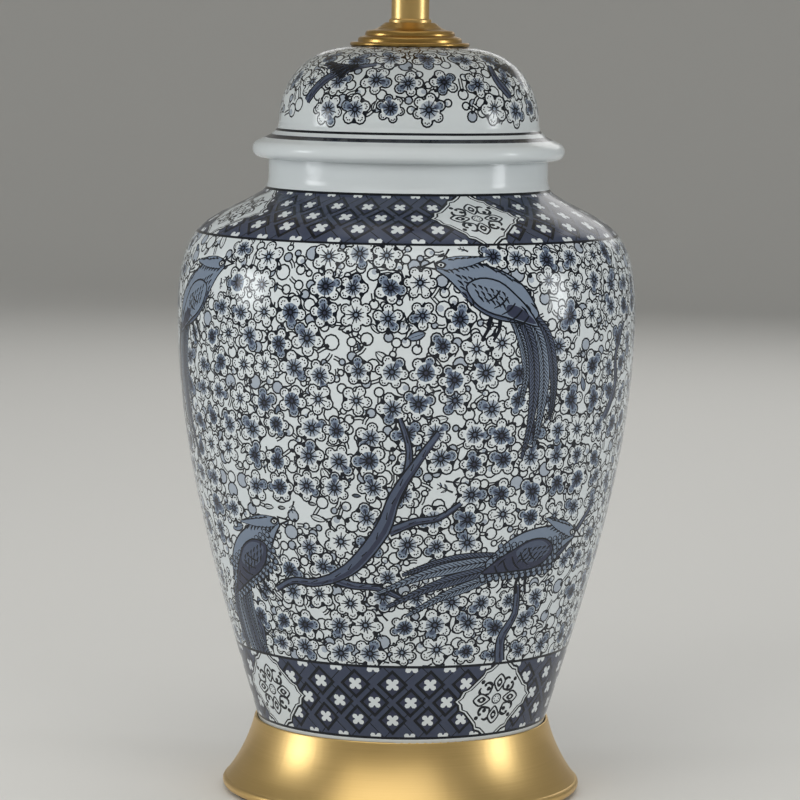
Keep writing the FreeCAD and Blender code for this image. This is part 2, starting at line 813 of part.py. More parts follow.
def bulb_cap():
    wall = bulb_cap_wall
    floor = bulb_cap_bottom + wall
    return turned((0, bulb_cap_bottom), ((bulb_insulator_radius, bulb_cap_bottom),),
                  ((bulb_cap_radius, bulb_cap_bottom + bulb_cap_chamfer),),
                  ((bulb_cap_radius, bulb_cap_top),), ((bulb_cap_radius - wall, bulb_cap_top),),
                  ((bulb_cap_radius - wall, floor + bulb_cap_chamfer),),
                  ((bulb_insulator_radius, floor),), ((0, floor),))


def bulb_glass():
    """Pear-shaped globe whose neck sits in the cap."""
    low = bulb_cap_top - bulb_stem_depth
    waist = low + bulb_glass_height - bulb_globe_radius

    def globe(inset):
        stem = bulb_cap_radius - bulb_cap_wall - inset
        radius = bulb_globe_radius - inset
        return turned((0, low), ((stem, low),), ((stem, bulb_cap_top),),
                      ((bulb_neck_radius - inset, bulb_cap_top + bulb_taper_fullness_low),
                       (radius, waist - bulb_taper_fullness_high), (radius, waist)),
                      (moved_along((0, waist), 45, radius), (0, waist + radius)))

    return globe(0).cut(globe(bulb_glass_wall))


# ---------------------------------------------------------------- shade
shade_lean = (shade_bottom_radius - shade_top_radius) / shade_height


def shade_radius(height):
    """Outer radius of the cover at a height."""
    return shade_bottom_radius - shade_lean * (height - shade_bottom)


def cone_band(outer_gap, inner_gap, bottom, top):
    """Band that follows the cover, between two gaps out from its outer face."""
    return turned((shade_radius(bottom) + inner_gap, bottom),
                  ((shade_radius(bottom) + outer_gap, bottom),),
                  ((shade_radius(top) + outer_gap, top),),
                  ((shade_radius(top) + inner_gap, top),))


def shade_cover():
    return cone_band(0, -shade_cover_thickness, shade_bottom, shade_top)


def shade_wire(height):
    slant = math.hypot(1, shade_lean)
    major = shade_radius(height) - shade_cover_thickness - shade_wire_radius * slant
    return Part.makeTorus(major, shade_wire_radius, Vec(0, 0, height)), major


def shade_trim(edge, direction):
    """Tape folded over an edge of the cover: a band outside and a strip over the edge."""
    fold = edge + direction * shade_trim_thickness
    far = edge - direction * shade_trim_width
    band = cone_band(shade_trim_thickness, 0, min(edge, far), max(edge, far))
    strip = cone_band(shade_trim_thickness, -shade_cover_thickness, min(edge, fold),
                      max(edge, fold))
    return band.fuse(strip).removeSplitter()


def spider_hub():
    return ring(hub_radius, stud_radius + hub_bore_clearance, hub_bottom, hub_top)


def spider_arms(top_ring, ring_radius):
    """Wire arms, level from the hub and bent up to the top ring."""
    level = (hub_bottom + hub_top) / 2
    bend = arm_bend_radius
    out = Vec(ring_radius - bend, 0, level)
    up = Vec(ring_radius, 0, level + bend)
    middle = Vec(ring_radius - bend + bend * math.sqrt(0.5), 0,
                 level + bend - bend * math.sqrt(0.5))
    path = [Part.makeLine(Vec(hub_radius - hub_thickness, 0, level), out),
            Part.Arc(out, middle, up).toShape(),
            Part.makeLine(up, Vec(ring_radius, 0, shade_ring_top))]
    arm = rod_along(path, arm_radius).cut([top_ring, disc(hub_radius, hub_bottom, hub_top)])
    arm = max(arm.Solids, key=lambda solid: solid.Volume)
    return Part.makeCompound([turned_about_z(arm, arm_first_angle + 360 * i / arm_count)
                              for i in range(arm_count)])


def finial():
    """Turned brass knob: a foot, a hollow neck line, a ball and a bud, with a blind hole."""
    low = finial_bottom
    foot = low + finial_foot_height
    neck = foot + finial_neck_height
    ball = neck + math.sqrt(finial_ball_radius ** 2 - finial_neck_radius ** 2)
    tip = ball + math.sqrt(finial_ball_radius ** 2 - finial_tip_radius ** 2)
    bud = tip + finial_tip_height
    bore = stud_radius + finial_bore_clearance
    bore_top = seat_top + stud_height + finial_bore_spare
    return turned((0, bore_top), ((bore, bore_top),), ((bore, low),), ((finial_foot_radius, low),),
                  ((finial_foot_radius, foot),),
                  ((finial_neck_radius, foot), (finial_neck_radius, (foot + neck) / 2),
                   (finial_neck_radius, neck)),
                  ((finial_ball_radius, ball), (finial_tip_radius, tip)),
                  ((finial_tip_radius, bud), (finial_tip_radius / 2, bud), (0, bud)))


# ---------------------------------------------------------------- every piece, by its node name
top_wire, top_wire_radius = shade_wire(shade_ring_top)
bottom_wire, _ = shade_wire(shade_bottom + shade_ring_inset)
bow_of_harp = harp()

pieces = {
    "felt_pad": felt_pad(),
    "base_board": base_board(),
    "base_skirt": base_skirt(),
    "cord_grommet": cord_grommet(),
    "loading_weight": loading_weight(),
    "seat_plate": seat_plate(),
    "seat_ring": seat_ring(),
    "threaded_rod": threaded_rod(),
    "lower_nut": hex_nut(lower_nut_bottom),
    "lower_washer": lower_washer(),
    "foot_bush": bush(jar_hole_radius, jar_floor_top, bush_flange_thickness),
    "porcelain_jar": porcelain_jar(),
    "lid_seal": lid_seal(),
    "porcelain_lid": porcelain_lid(),
    "lid_bush": bush(lid_hole_radius, lid_top, bush_flange_thickness),
    "vase_cap": vase_cap(),
    "collar_ring": collar_ring(),
    "neck_tube": neck_tube(),
    "neck_ring": neck_ring(),
    "harp_saddle": harp_saddle(),
    "top_nut": hex_nut(saddle_top),
    "harp": bow_of_harp,
    "harp_seat": harp_seat(bow_of_harp),
    "left_harp_sleeve": harp_sleeve(-1),
    "right_harp_sleeve": harp_sleeve(1),
    "holder_cap": holder_cap(),
    "holder_shell": holder_shell(),
    "holder_liner": holder_liner(),
    "holder_core": holder_core(),
    "screw_shell": screw_shell(),
    "centre_contact": centre_contact(),
    "terminal_screws": terminal_screws(),
    "switch_bushing": switch_bushing(),
    "switch_shaft": switch_shaft(),
    "switch_cam": switch_cam(),
    "switch_knob": switch_knob(),
    "bulb_contact": bulb_contact(),
    "bulb_insulator": bulb_insulator(),
    "bulb_cap": bulb_cap(),
    "bulb_glass": bulb_glass(),
    "shade_cover": shade_cover(),
    "shade_top_ring": top_wire,
    "shade_bottom_ring": bottom_wire,
    "shade_top_trim": shade_trim(shade_top, 1),
    "shade_bottom_trim": shade_trim(shade_bottom, -1),
    "spider_hub": spider_hub(),
    "spider_arms": spider_arms(top_wire, top_wire_radius),
    "finial": finial(),
}

for name, shape in pieces.items():
    shape.exportStep("parts/" + name + ".step")
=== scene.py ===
"""Ginger jar table lamp: the finish of every piece, the painted porcelain and the linen shade,
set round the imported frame. Sizes of the painting and the porcelain are in millimetres."""
import bisect
import math
import random

import bmesh
import bpy
from mathutils import Matrix, Vector
from mathutils.geometry import delaunay_2d_cdt


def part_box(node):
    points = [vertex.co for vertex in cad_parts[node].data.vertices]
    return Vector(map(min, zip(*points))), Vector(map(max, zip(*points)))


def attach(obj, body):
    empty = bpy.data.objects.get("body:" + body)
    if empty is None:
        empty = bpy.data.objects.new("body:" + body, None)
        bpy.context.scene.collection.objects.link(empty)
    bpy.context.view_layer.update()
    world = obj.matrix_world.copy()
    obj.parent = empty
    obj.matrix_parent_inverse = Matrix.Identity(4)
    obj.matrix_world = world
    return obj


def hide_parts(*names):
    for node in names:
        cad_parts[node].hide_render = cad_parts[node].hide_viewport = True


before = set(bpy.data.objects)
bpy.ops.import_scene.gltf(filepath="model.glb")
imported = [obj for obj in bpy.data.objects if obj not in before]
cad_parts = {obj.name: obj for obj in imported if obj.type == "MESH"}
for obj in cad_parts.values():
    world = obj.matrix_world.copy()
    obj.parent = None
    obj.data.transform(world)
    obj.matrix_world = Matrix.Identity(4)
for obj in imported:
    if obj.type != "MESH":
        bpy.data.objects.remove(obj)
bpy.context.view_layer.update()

# ---------------------------------------------------------------- camera
# A long lens two metres in front of the lamp, looking six degrees down at the jar.
# The slight roll is the lean of the camera.
camera_place = Vector((-0.002916, -1.99219, 0.42478))
camera_pitch_down = 5.984
camera_roll = 0.7337
camera_data = bpy.data.cameras.new("camera")
camera_data.sensor_width = 36.0
camera_data.lens = 163.7
camera = bpy.data.objects.new("camera", camera_data)
bpy.context.scene.collection.objects.link(camera)
camera.matrix_world = (Matrix.Translation(camera_place)
                       @ Matrix.Rotation(math.radians(90 - camera_pitch_down), 4, "X")
                       @ Matrix.Rotation(math.radians(camera_roll), 4, "Z"))
bpy.context.scene.camera = camera
bpy.context.scene.view_settings.view_transform = "Standard"

# ---------------------------------------------------------------- studio floor and soft lamps
# A pale floor that sweeps up to a wall all round the lamp, lit by large soft lamps that stand
# low, because the lamp's own shade keeps light from above off the jar.
floor_radius = 3.4
sweep_radius = 1.6
wall_height = 5.0
sweep_sides = 96
paper_colour = (0.70, 0.69, 0.66)


def link_new(name, mesh, materials=()):
    piece = bpy.data.objects.new(name, mesh)
    bpy.context.scene.collection.objects.link(piece)
    for finish in materials:
        mesh.materials.append(finish)
    return piece


def new_material(name):
    """A material, its node tree and its Principled shader."""
    finish = bpy.data.materials.new(name)
    finish.use_nodes = True
    return finish, finish.node_tree, finish.node_tree.nodes["Principled BSDF"]


def opaque(colour):
    return (*colour, 1.0)


def studio_paper():
    finish, _, shader = new_material("studio_paper")
    shader.inputs["Base Color"].default_value = opaque(paper_colour)
    shader.inputs["Roughness"].default_value = 0.9
    shader.inputs["Specular IOR Level"].default_value = 0.1
    return finish


def sweep_line():
    turn_steps = 16
    points = [(0.001, 0.0), (floor_radius / 2, 0.0)]
    for i in range(turn_steps + 1):
        turn = math.pi / 2 * i / turn_steps
        points.append((floor_radius + sweep_radius * math.sin(turn),
                       sweep_radius * (1 - math.cos(turn))))
    return points + [(floor_radius + sweep_radius, wall_height)]


line = sweep_line()
rows = len(line)
sweep_mesh = bpy.data.meshes.new("studio_sweep")
sweep_angles = [math.tau * i / sweep_sides for i in range(sweep_sides)]
sweep_points = [(r * math.cos(a), r * math.sin(a), z) for a in sweep_angles for r, z in line]
sweep_mesh.from_pydata(sweep_points, [],
                       [(i * rows + k, (i + 1) % sweep_sides * rows + k,
                         (i + 1) % sweep_sides * rows + k + 1, i * rows + k + 1)
                        for i in range(sweep_sides) for k in range(rows - 1)])
sweep_mesh.polygons.foreach_set("use_smooth", [True] * len(sweep_mesh.polygons))
sweep = link_new("studio_sweep", sweep_mesh, [studio_paper()])


def soft_lamp(name, place, aim, width, height, power, colour=(1.0, 1.0, 1.0), mirrored=True):
    data = bpy.data.lights.new(name, "AREA")
    data.shape = "RECTANGLE"
    data.size = width
    data.size_y = height
    data.energy = power
    data.color = colour
    lamp = bpy.data.objects.new(name, data)
    bpy.context.scene.collection.objects.link(lamp)
    lamp.location = place
    lamp.visible_glossy = mirrored
    lamp.rotation_euler = (Vector(aim) - Vector(place)).to_track_quat("-Z", "Y").to_euler()


jar_middle = (0.0, 0.0, 0.25)
soft_lamp("window_left", (-1.7, -0.25, 0.50), jar_middle, 0.50, 0.45, 5.5, (0.95, 0.98, 1.0))
soft_lamp("window_right", (1.8, -0.35, 0.52), jar_middle, 0.36, 0.62, 5.5, (0.95, 0.98, 1.0))
soft_lamp("front_fill_left", (-1.6, -2.5, 1.35), jar_middle, 1.6, 1.3, 19, (1.0, 0.99, 0.97), False)
soft_lamp("front_fill_right", (1.8, -2.3, 1.25), jar_middle, 1.4, 1.1, 13, (1.0, 0.99, 0.97), False)
soft_lamp("room_front", (-0.3, -1.7, 2.3), jar_middle, 3.2, 2.0, 27, (1.0, 0.99, 0.96))
soft_lamp("room_top", (0.0, 0.4, 2.6), (0, 0, 0.3), 3.2, 3.2, 24)
soft_lamp("room_back", (0.6, 2.4, 1.7), (0, 0, 0.4), 2.4, 1.8, 15)

world = bpy.data.worlds.new("studio_air")
bpy.context.scene.world = world
world.use_nodes = True
world_tree = world.node_tree
air = world_tree.nodes["Background"]
air.inputs["Color"].default_value = opaque((0.86, 0.90, 0.95))
air.inputs["Strength"].default_value = 0.20

# ---------------------------------------------------------------- brass: skirt and neck fittings
# Sheet brass spun over a form and brushed on the lathe, then lacquered, so that fine rings run
# round every turned piece. The cap on the lid is the same brass, bronzed darker.


def node_group(name, inputs, outputs):
    """An empty shader group with its sockets. Inputs are name: value, outputs name: kind."""
    group = bpy.data.node_groups.new(name, "ShaderNodeTree")
    for label, value in inputs.items():
        kind = "NodeSocketVector" if isinstance(value, tuple) else "NodeSocketFloat"
        socket = group.interface.new_socket(label, in_out="INPUT", socket_type=kind)
        socket.default_value = value
    for label, kind in outputs.items():
        group.interface.new_socket(label, in_out="OUTPUT", socket_type="NodeSocket" + kind)
    return group, group.nodes.new("NodeGroupInput"), group.nodes.new("NodeGroupOutput")


def math_node(tree, operation, first, second=None):
    node = tree.nodes.new("ShaderNodeMath")
    node.operation = operation
    for socket, value in zip(node.inputs, (first, second)):
        if value is None:
            continue
        if isinstance(value, (int, float)):
            socket.default_value = value
        else:
            tree.links.new(value, socket)
    return node.outputs[0]


def noise_node(tree, vector, scale, detail=2.0, roughness=0.5):
    node = tree.nodes.new("ShaderNodeTexNoise")
    tree.links.new(vector, node.inputs["Vector"])
    if isinstance(scale, (int, float)):
        node.inputs["Scale"].default_value = scale
    else:
        tree.links.new(scale, node.inputs["Scale"])
    node.inputs["Detail"].default_value = detail
    node.inputs["Roughness"].default_value = roughness
    return node.outputs["Fac"]


def tone_results(group, given, result, fine, broad, fine_share):
    """Tone mixed from two noises, a roughness that follows it from Low to High, and a height."""
    tone = math_node(group, "ADD", math_node(group, "MULTIPLY", fine, fine_share),
                     math_node(group, "MULTIPLY", broad, 1.0 - fine_share))
    spread = math_node(group, "SUBTRACT", given.outputs["High"], given.outputs["Low"])
    rough = math_node(group, "ADD", math_node(group, "MULTIPLY", tone, spread),
                      given.outputs["Low"])
    group.links.new(tone, result.inputs["Tone"])
    group.links.new(rough, result.inputs["Roughness"])
    group.links.new(fine, result.inputs["Height"])


surface_outputs = {"Tone": "Float", "Roughness": "Float", "Height": "Float"}


def grain_group():
    """Streaks of a brushed or drawn finish: noise squeezed by a stretch for each axis."""
    group, given, result = node_group("brushed_grain", {"Stretch": (1.0, 1.0, 1.0), "Low": 0.3,
                                                        "High": 0.4}, surface_outputs)
    place = group.nodes.new("ShaderNodeTexCoord").outputs["Object"]
    squeeze = group.nodes.new("ShaderNodeVectorMath")
    squeeze.operation = "MULTIPLY"
    group.links.new(place, squeeze.inputs[0])
    group.links.new(given.outputs["Stretch"], squeeze.inputs[1])
    fine = noise_node(group, squeeze.outputs[0], 1.0, 3.0, 0.6)
    broad = noise_node(group, place, 22.0, 2.0)
    tone_results(group, given, result, fine, broad, 0.55)
    return group


def placed(tree, group, **values):
    node = tree.nodes.new("ShaderNodeGroup")
    node.node_tree = group
    for label, value in values.items():
        node.inputs[label].default_value = value
    return node


def two_tone(tree, shader, mask, dark, light):
    """Base colour that runs from dark to light with a mask."""
    mix = tree.nodes.new("ShaderNodeMix")
    mix.data_type = "RGBA"
    tree.links.new(mask, mix.inputs["Factor"])
    mix.inputs["A"].default_value = opaque(dark)
    mix.inputs["B"].default_value = opaque(light)
    tree.links.new(mix.outputs["Result"], shader.inputs["Base Color"])


def bumped(tree, shader, height, depth):
    """Relief of a height, up to a depth in metres."""
    bump = tree.nodes.new("ShaderNodeBump")
    bump.inputs["Distance"].default_value = depth
    bump.inputs["Strength"].default_value = 1.0
    tree.links.new(height, bump.inputs["Height"])
    tree.links.new(bump.outputs["Normal"], shader.inputs["Normal"])


grain = grain_group()
around_axis = (9.0, 9.0, 2600.0)
along_wire = (700.0, 700.0, 14.0)
brush_depth = 0.000012


def brushed_metal(name, dark, light, stretch, rough_low, rough_high):
    finish, tree, shader = new_material(name)
    marks = placed(tree, grain, Stretch=stretch, Low=rough_low, High=rough_high)
    two_tone(tree, shader, marks.outputs["Tone"], dark, light)
    shader.inputs["Metallic"].default_value = 1.0
    tree.links.new(marks.outputs["Roughness"], shader.inputs["Roughness"])
    bumped(tree, shader, marks.outputs["Height"], brush_depth)
    return finish


satin_brass = brushed_metal("satin_brass", (0.66, 0.44, 0.15), (0.86, 0.61, 0.27), around_axis,
                            0.26, 0.46)
bronzed_brass = brushed_metal("bronzed_brass", (0.40, 0.24, 0.065), (0.62, 0.40, 0.14), around_axis,
                              0.20, 0.38)
drawn_brass = brushed_metal("drawn_brass", (0.62, 0.42, 0.15), (0.80, 0.58, 0.26), along_wire,
                            0.24, 0.40)
bright_brass = brushed_metal("bright_brass", (0.66, 0.47, 0.18), (0.84, 0.64, 0.30), around_axis,
                             0.16, 0.30)


def finished(material, *nodes):
    """Gives CAD pieces their material."""
    for node in nodes:
        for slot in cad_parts[node].material_slots:
            slot.material = material


finished(satin_brass, "base_skirt", "collar_ring", "neck_tube", "neck_ring", "holder_cap",
         "holder_shell", "harp_seat", "finial")
finished(bronzed_brass, "vase_cap")
finished(drawn_brass, "harp", "harp_saddle", "left_harp_sleeve", "right_harp_sleeve")
finished(bright_brass, "screw_shell", "centre_contact", "terminal_screws", "switch_bushing")

# ---------------------------------------------------------------- plain inner pieces
# Zinc-plated steel rod and nuts, an iron weight as cast under black paint, rubber and nylon
# mouldings, pressed board and fibre: none is polished, so each has its own grain and pitting.


def pitted_group():
    """Fine and coarse noise of moulded, cast and pressed surfaces."""
    group, given, result = node_group("pitted_surface", {"Scale": 300.0, "Low": 0.5, "High": 0.7},
                                      surface_outputs)
    place = group.nodes.new("ShaderNodeTexCoord").outputs["Object"]
    fine = noise_node(group, place, given.outputs["Scale"], 4.0, 0.65)
    coarse = noise_node(group, place, 35.0, 2.0)
    tone_results(group, given, result, fine, coarse, 0.6)
    return group


pitted = pitted_group()


def pitted_material(name, dark, light, scale, rough_low, rough_high, depth, metallic=0.0):
    finish, tree, shader = new_material(name)
    marks = placed(tree, pitted, Scale=scale, Low=rough_low, High=rough_high)
    two_tone(tree, shader, marks.outputs["Tone"], dark, light)
    shader.inputs["Metallic"].default_value = metallic
    tree.links.new(marks.outputs["Roughness"], shader.inputs["Roughness"])
    bumped(tree, shader, marks.outputs["Height"], depth)
    return finish


zinc_steel = pitted_material("zinc_steel", (0.44, 0.44, 0.43), (0.64, 0.64, 0.61), 500.0, 0.28,
                             0.45, 0.00002, 1.0)
cast_iron = pitted_material("painted_cast_iron", (0.014, 0.014, 0.015), (0.04, 0.04, 0.042), 420.0,
                            0.5, 0.75, 0.0003)
black_rubber = pitted_material("black_rubber", (0.010, 0.010, 0.010), (0.028, 0.028, 0.028), 900.0,
                               0.55, 0.75, 0.00004)
nylon = pitted_material("natural_nylon", (0.66, 0.64, 0.57), (0.78, 0.76, 0.70), 600.0, 0.35, 0.5,
                        0.00002)
silicone = pitted_material("silicone_seal", (0.50, 0.50, 0.46), (0.62, 0.61, 0.57), 500.0, 0.3,
                           0.45, 0.00002)
pressed_board = pitted_material("pressed_board", (0.12, 0.085, 0.055), (0.25, 0.18, 0.12), 260.0,
                                0.75, 0.95, 0.00012)
fibre = pitted_material("vulcanised_fibre", (0.05, 0.03, 0.02), (0.11, 0.07, 0.045), 380.0, 0.55,
                        0.75, 0.00005)
phenolic = pitted_material("black_phenolic", (0.010, 0.009, 0.009), (0.022, 0.019, 0.018), 700.0,
                           0.22, 0.35, 0.00001)
rolled_aluminium = pitted_material("rolled_aluminium", (0.60, 0.60, 0.60), (0.76, 0.76, 0.76),
                                   450.0, 0.25, 0.40, 0.00001, 1.0)
black_glass = pitted_material("black_glass", (0.008, 0.008, 0.010), (0.016, 0.016, 0.02), 300.0,
                              0.08, 0.16, 0.000004)
white_paint = pitted_material("white_painted_wire", (0.66, 0.65, 0.61), (0.76, 0.75, 0.71), 500.0,
                              0.30, 0.45, 0.00003)
finished(zinc_steel, "threaded_rod", "lower_nut", "lower_washer", "seat_plate", "top_nut",
         "switch_shaft")
finished(cast_iron, "loading_weight")
finished(black_rubber, "cord_grommet", "seat_ring")
finished(nylon, "foot_bush", "lid_bush")
finished(silicone, "lid_seal")
finished(pressed_board, "base_board")
finished(fibre, "holder_liner")
finished(phenolic, "holder_core", "switch_cam", "switch_knob")
finished(rolled_aluminium, "bulb_cap", "bulb_contact")
finished(black_glass, "bulb_insulator")
finished(white_paint, "shade_top_ring", "shade_bottom_ring", "spider_hub", "spider_arms")

# ---------------------------------------------------------------- painter's inks under the glaze
# White porcelain painted in cobalt: a near-black outline, and washes from dark to pale, each its
# own plain colour under one clear gloss glaze that pools in faint ripples.
ink_colours = {
    "white": (0.66, 0.71, 0.735),
    "shadow": (0.36, 0.41, 0.48),
    "pale": (0.185, 0.235, 0.315),
    "wash": (0.074, 0.096, 0.150),
    "slate": (0.048, 0.060, 0.100),
    "deep": (0.034, 0.041, 0.074),
    "navy": (0.0035, 0.0060, 0.0115),
}


def glaze_group():
    """Ripples and faint roughness of a glaze that has run and set."""
    group, given, result = node_group("glaze_ripple", {"Scale": 60.0},
                                      {"Roughness": "Float", "Height": "Float"})
    place = group.nodes.new("ShaderNodeTexCoord").outputs["Object"]
    broad = noise_node(group, place, given.outputs["Scale"], 2.0)
    fine = noise_node(group, place, 900.0, 1.0)
    height = math_node(group, "ADD", broad, math_node(group, "MULTIPLY", fine, 0.04))
    rough = math_node(group, "ADD", math_node(group, "MULTIPLY", fine, 0.06), 0.12)
    group.links.new(rough, result.inputs["Roughness"])
    group.links.new(height, result.inputs["Height"])
    return group


glaze = glaze_group()


def glazed(name, colour):
    finish, tree, shader = new_material("glaze_" + name)
    shader.inputs["Base Color"].default_value = opaque(colour)
    shader.inputs["IOR"].default_value = 1.5
    shader.inputs["Specular IOR Level"].default_value = 0.35
    ripple = placed(tree, glaze, Scale=60.0)
    tree.links.new(ripple.outputs["Roughness"], shader.inputs["Roughness"])
    bumped(tree, shader, ripple.outputs["Height"], 0.00025)
    return finish


inks = {name: glazed(name, colour) for name, colour in ink_colours.items()}
ink_order = list(ink_colours)

# ---------------------------------------------------------------- turned outlines and the sheet
# The painting is drawn flat, as on paper wrapped round the pot: across is the angle times a
# sheet radius, up is the length along the pot's outline. Each ink then gets its own faces.
MM = 0.001
SHEET_RADIUS = 100.0
SHEET_WIDTH = 2 * math.pi * SHEET_RADIUS
sheet_columns = 144
margin_columns = 18
seam_margin = SHEET_WIDTH * margin_columns / sheet_columns
sheet_row_gap = 5.0
row_turn = 0.16
outline_step = 0.5
mend_distance = 1e-4
smallest_area = 0.01
spill_share = 1.1
spill_area = 0.5
corner_nudge = 0.02
seam_weld = 1e-7


def weld(mesh):
    """Joins points that lie on one another, where a turned surface meets itself."""
    joined = bmesh.new()
    joined.from_mesh(mesh)
    bmesh.ops.remove_doubles(joined, verts=joined.verts, dist=seam_weld)
    joined.to_mesh(mesh)
    joined.free()


class Outline:
    """A closed outline of (radius, height) points, walked by its length. A step of one point is
    a line, of two an arc through the first, of three a cubic curve with two handles."""

    def __init__(self, start, *steps):
        self.lengths, self.points, self.slopes, self.corners, self.bends = [], [], [], [0.0], []
        here = start
        for step in steps:
            self.add(here, step)
            here = step[-1]

    def add(self, here, step):
        curve = {1: straight, 2: circular, 3: cubic}[len(step)](here, *step)
        rough = [curve(i / 8) for i in range(9)]
        count = max(2, round(sum(math.dist(a, b) for a, b in zip(rough, rough[1:])) / outline_step))
        points = [curve(i / count) for i in range(count + 1)]
        length = self.corners[-1]
        ways = [math.atan2(b[1] - a[1], b[0] - a[0]) for a, b in zip(points, points[1:])]
        self.bends.append(sum(abs((after - before + math.pi) % math.tau - math.pi)
                              for before, after in zip(ways, ways[1:])))
        for i, point in enumerate(points):
            before, after = points[max(i - 1, 0)], points[min(i + 1, count)]
            gap = math.dist(before, after)
            if i:
                length += math.dist(points[i - 1], point)
            self.lengths.append(length)
            self.points.append(point)
            self.slopes.append(((after[0] - before[0]) / gap, (after[1] - before[1]) / gap))
        self.corners.append(length)

    def at(self, length):
        """Radius, height and the direction of travel at a length along the outline."""
        i = min(max(bisect.bisect_right(self.lengths, length), 1), len(self.lengths) - 1)
        span = self.lengths[i] - self.lengths[i - 1]
        share = min(max((length - self.lengths[i - 1]) / span, 0), 1) if span else 0.0
        return [a + (b - a) * share for a, b in zip(self.points[i - 1] + self.slopes[i - 1],
                                                    self.points[i] + self.slopes[i])]

    def length_at(self, height, low=0.0):
        """First length beyond low where the outline reaches a height."""
        for length, (_, z) in zip(self.lengths, self.points):
            if length >= low and z >= height:
                return length
        return self.lengths[-1]

    def rows(self):
        """Lengths of the mesh's rows, with one at each corner."""
        rows = []
        for low, high, bend in zip(self.corners, self.corners[1:], self.bends):
            count = max(1, round((high - low) / sheet_row_gap), math.ceil(bend / row_turn))
            rows += [low + (high - low) * i / count for i in range(count)]
        return rows + [self.corners[-1]]


def straight(a, b):
    return lambda t: (a[0] + (b[0] - a[0]) * t, a[1] + (b[1] - a[1]) * t)


def circular(a, m, b):
    """Arc from a through m to b."""
    ax, ay, bx, by = a[0] - m[0], a[1] - m[1], b[0] - m[0], b[1] - m[1]
    cross = 2 * (ax * by - ay * bx)
    la, lb = ax * ax + ay * ay, bx * bx + by * by
    centre = (m[0] + (by * la - ay * lb) / cross, m[1] + (ax * lb - bx * la) / cross)
    start = math.atan2(a[1] - centre[1], a[0] - centre[0])
    sweep = math.atan2(b[1] - centre[1], b[0] - centre[0]) - start
    middle = (math.atan2(m[1] - centre[1], m[0] - centre[0]) - start) % math.tau
    sweep %= math.tau
    if middle > sweep:
        sweep -= math.tau
    radius = math.dist(a, centre)
    return lambda t: (centre[0] + radius * math.cos(start + sweep * t),
                      centre[1] + radius * math.sin(start + sweep * t))


def cubic(a, h1, h2, b):
    def point(t):
        u = 1 - t
        weights = (u * u * u, 3 * u * u * t, 3 * u * t * t, t * t * t)
        return tuple(sum(w * p[k] for w, p in zip(weights, (a, h1, h2, b))) for k in (0, 1))
    return point


def clipped(points, axis, limit, keep_above):
    """The part of a polygon on one side of a level or upright line."""
    kept = []
    for here, after in zip(points, points[1:] + points[:1]):
        inside = (here[axis] >= limit) == keep_above or here[axis] == limit
        inside_after = (after[axis] >= limit) == keep_above or after[axis] == limit
        if inside:
            kept.append(here)
        if inside != inside_after:
            share = (limit - here[axis]) / (after[axis] - here[axis])
            crossing = [here[k] + (after[k] - here[k]) * share for k in (0, 1)]
            crossing[axis] = limit
            kept.append(tuple(crossing))
    return kept


def area(points):
    """Area inside a polygon, positive where it runs anticlockwise."""
    return sum(ax * by - bx * ay for (ax, ay), (bx, by) in zip(points, points[1:] + points[:1])) / 2


def crosses_itself(points):
    """True where two edges that aren't neighbours meet, which would spill the ink."""
    count = len(points)
    if count < 5:
        return False
    edges = list(zip(points, points[1:] + points[:1]))
    boxes = [(min(a[0], b[0]), max(a[0], b[0]), min(a[1], b[1]), max(a[1], b[1])) for a, b in edges]
    for i in range(count - 2):
        (ax, ay), (bx, by) = edges[i]
        left, right, low, high = boxes[i]
        for j in range(i + 2, count - (i == 0)):
            other = boxes[j]
            if other[0] > right or other[1] < left or other[2] > high or other[3] < low:
                continue
            (cx, cy), (dx, dy) = edges[j]
            side_c = (bx - ax) * (cy - ay) - (by - ay) * (cx - ax)
            side_d = (bx - ax) * (dy - ay) - (by - ay) * (dx - ax)
            side_a = (dx - cx) * (ay - cy) - (dy - cy) * (ax - cx)
            side_b = (dx - cx) * (by - cy) - (dy - cy) * (bx - cx)
            if side_c * side_d <= 0 and side_a * side_b <= 0:
                return True
    return False


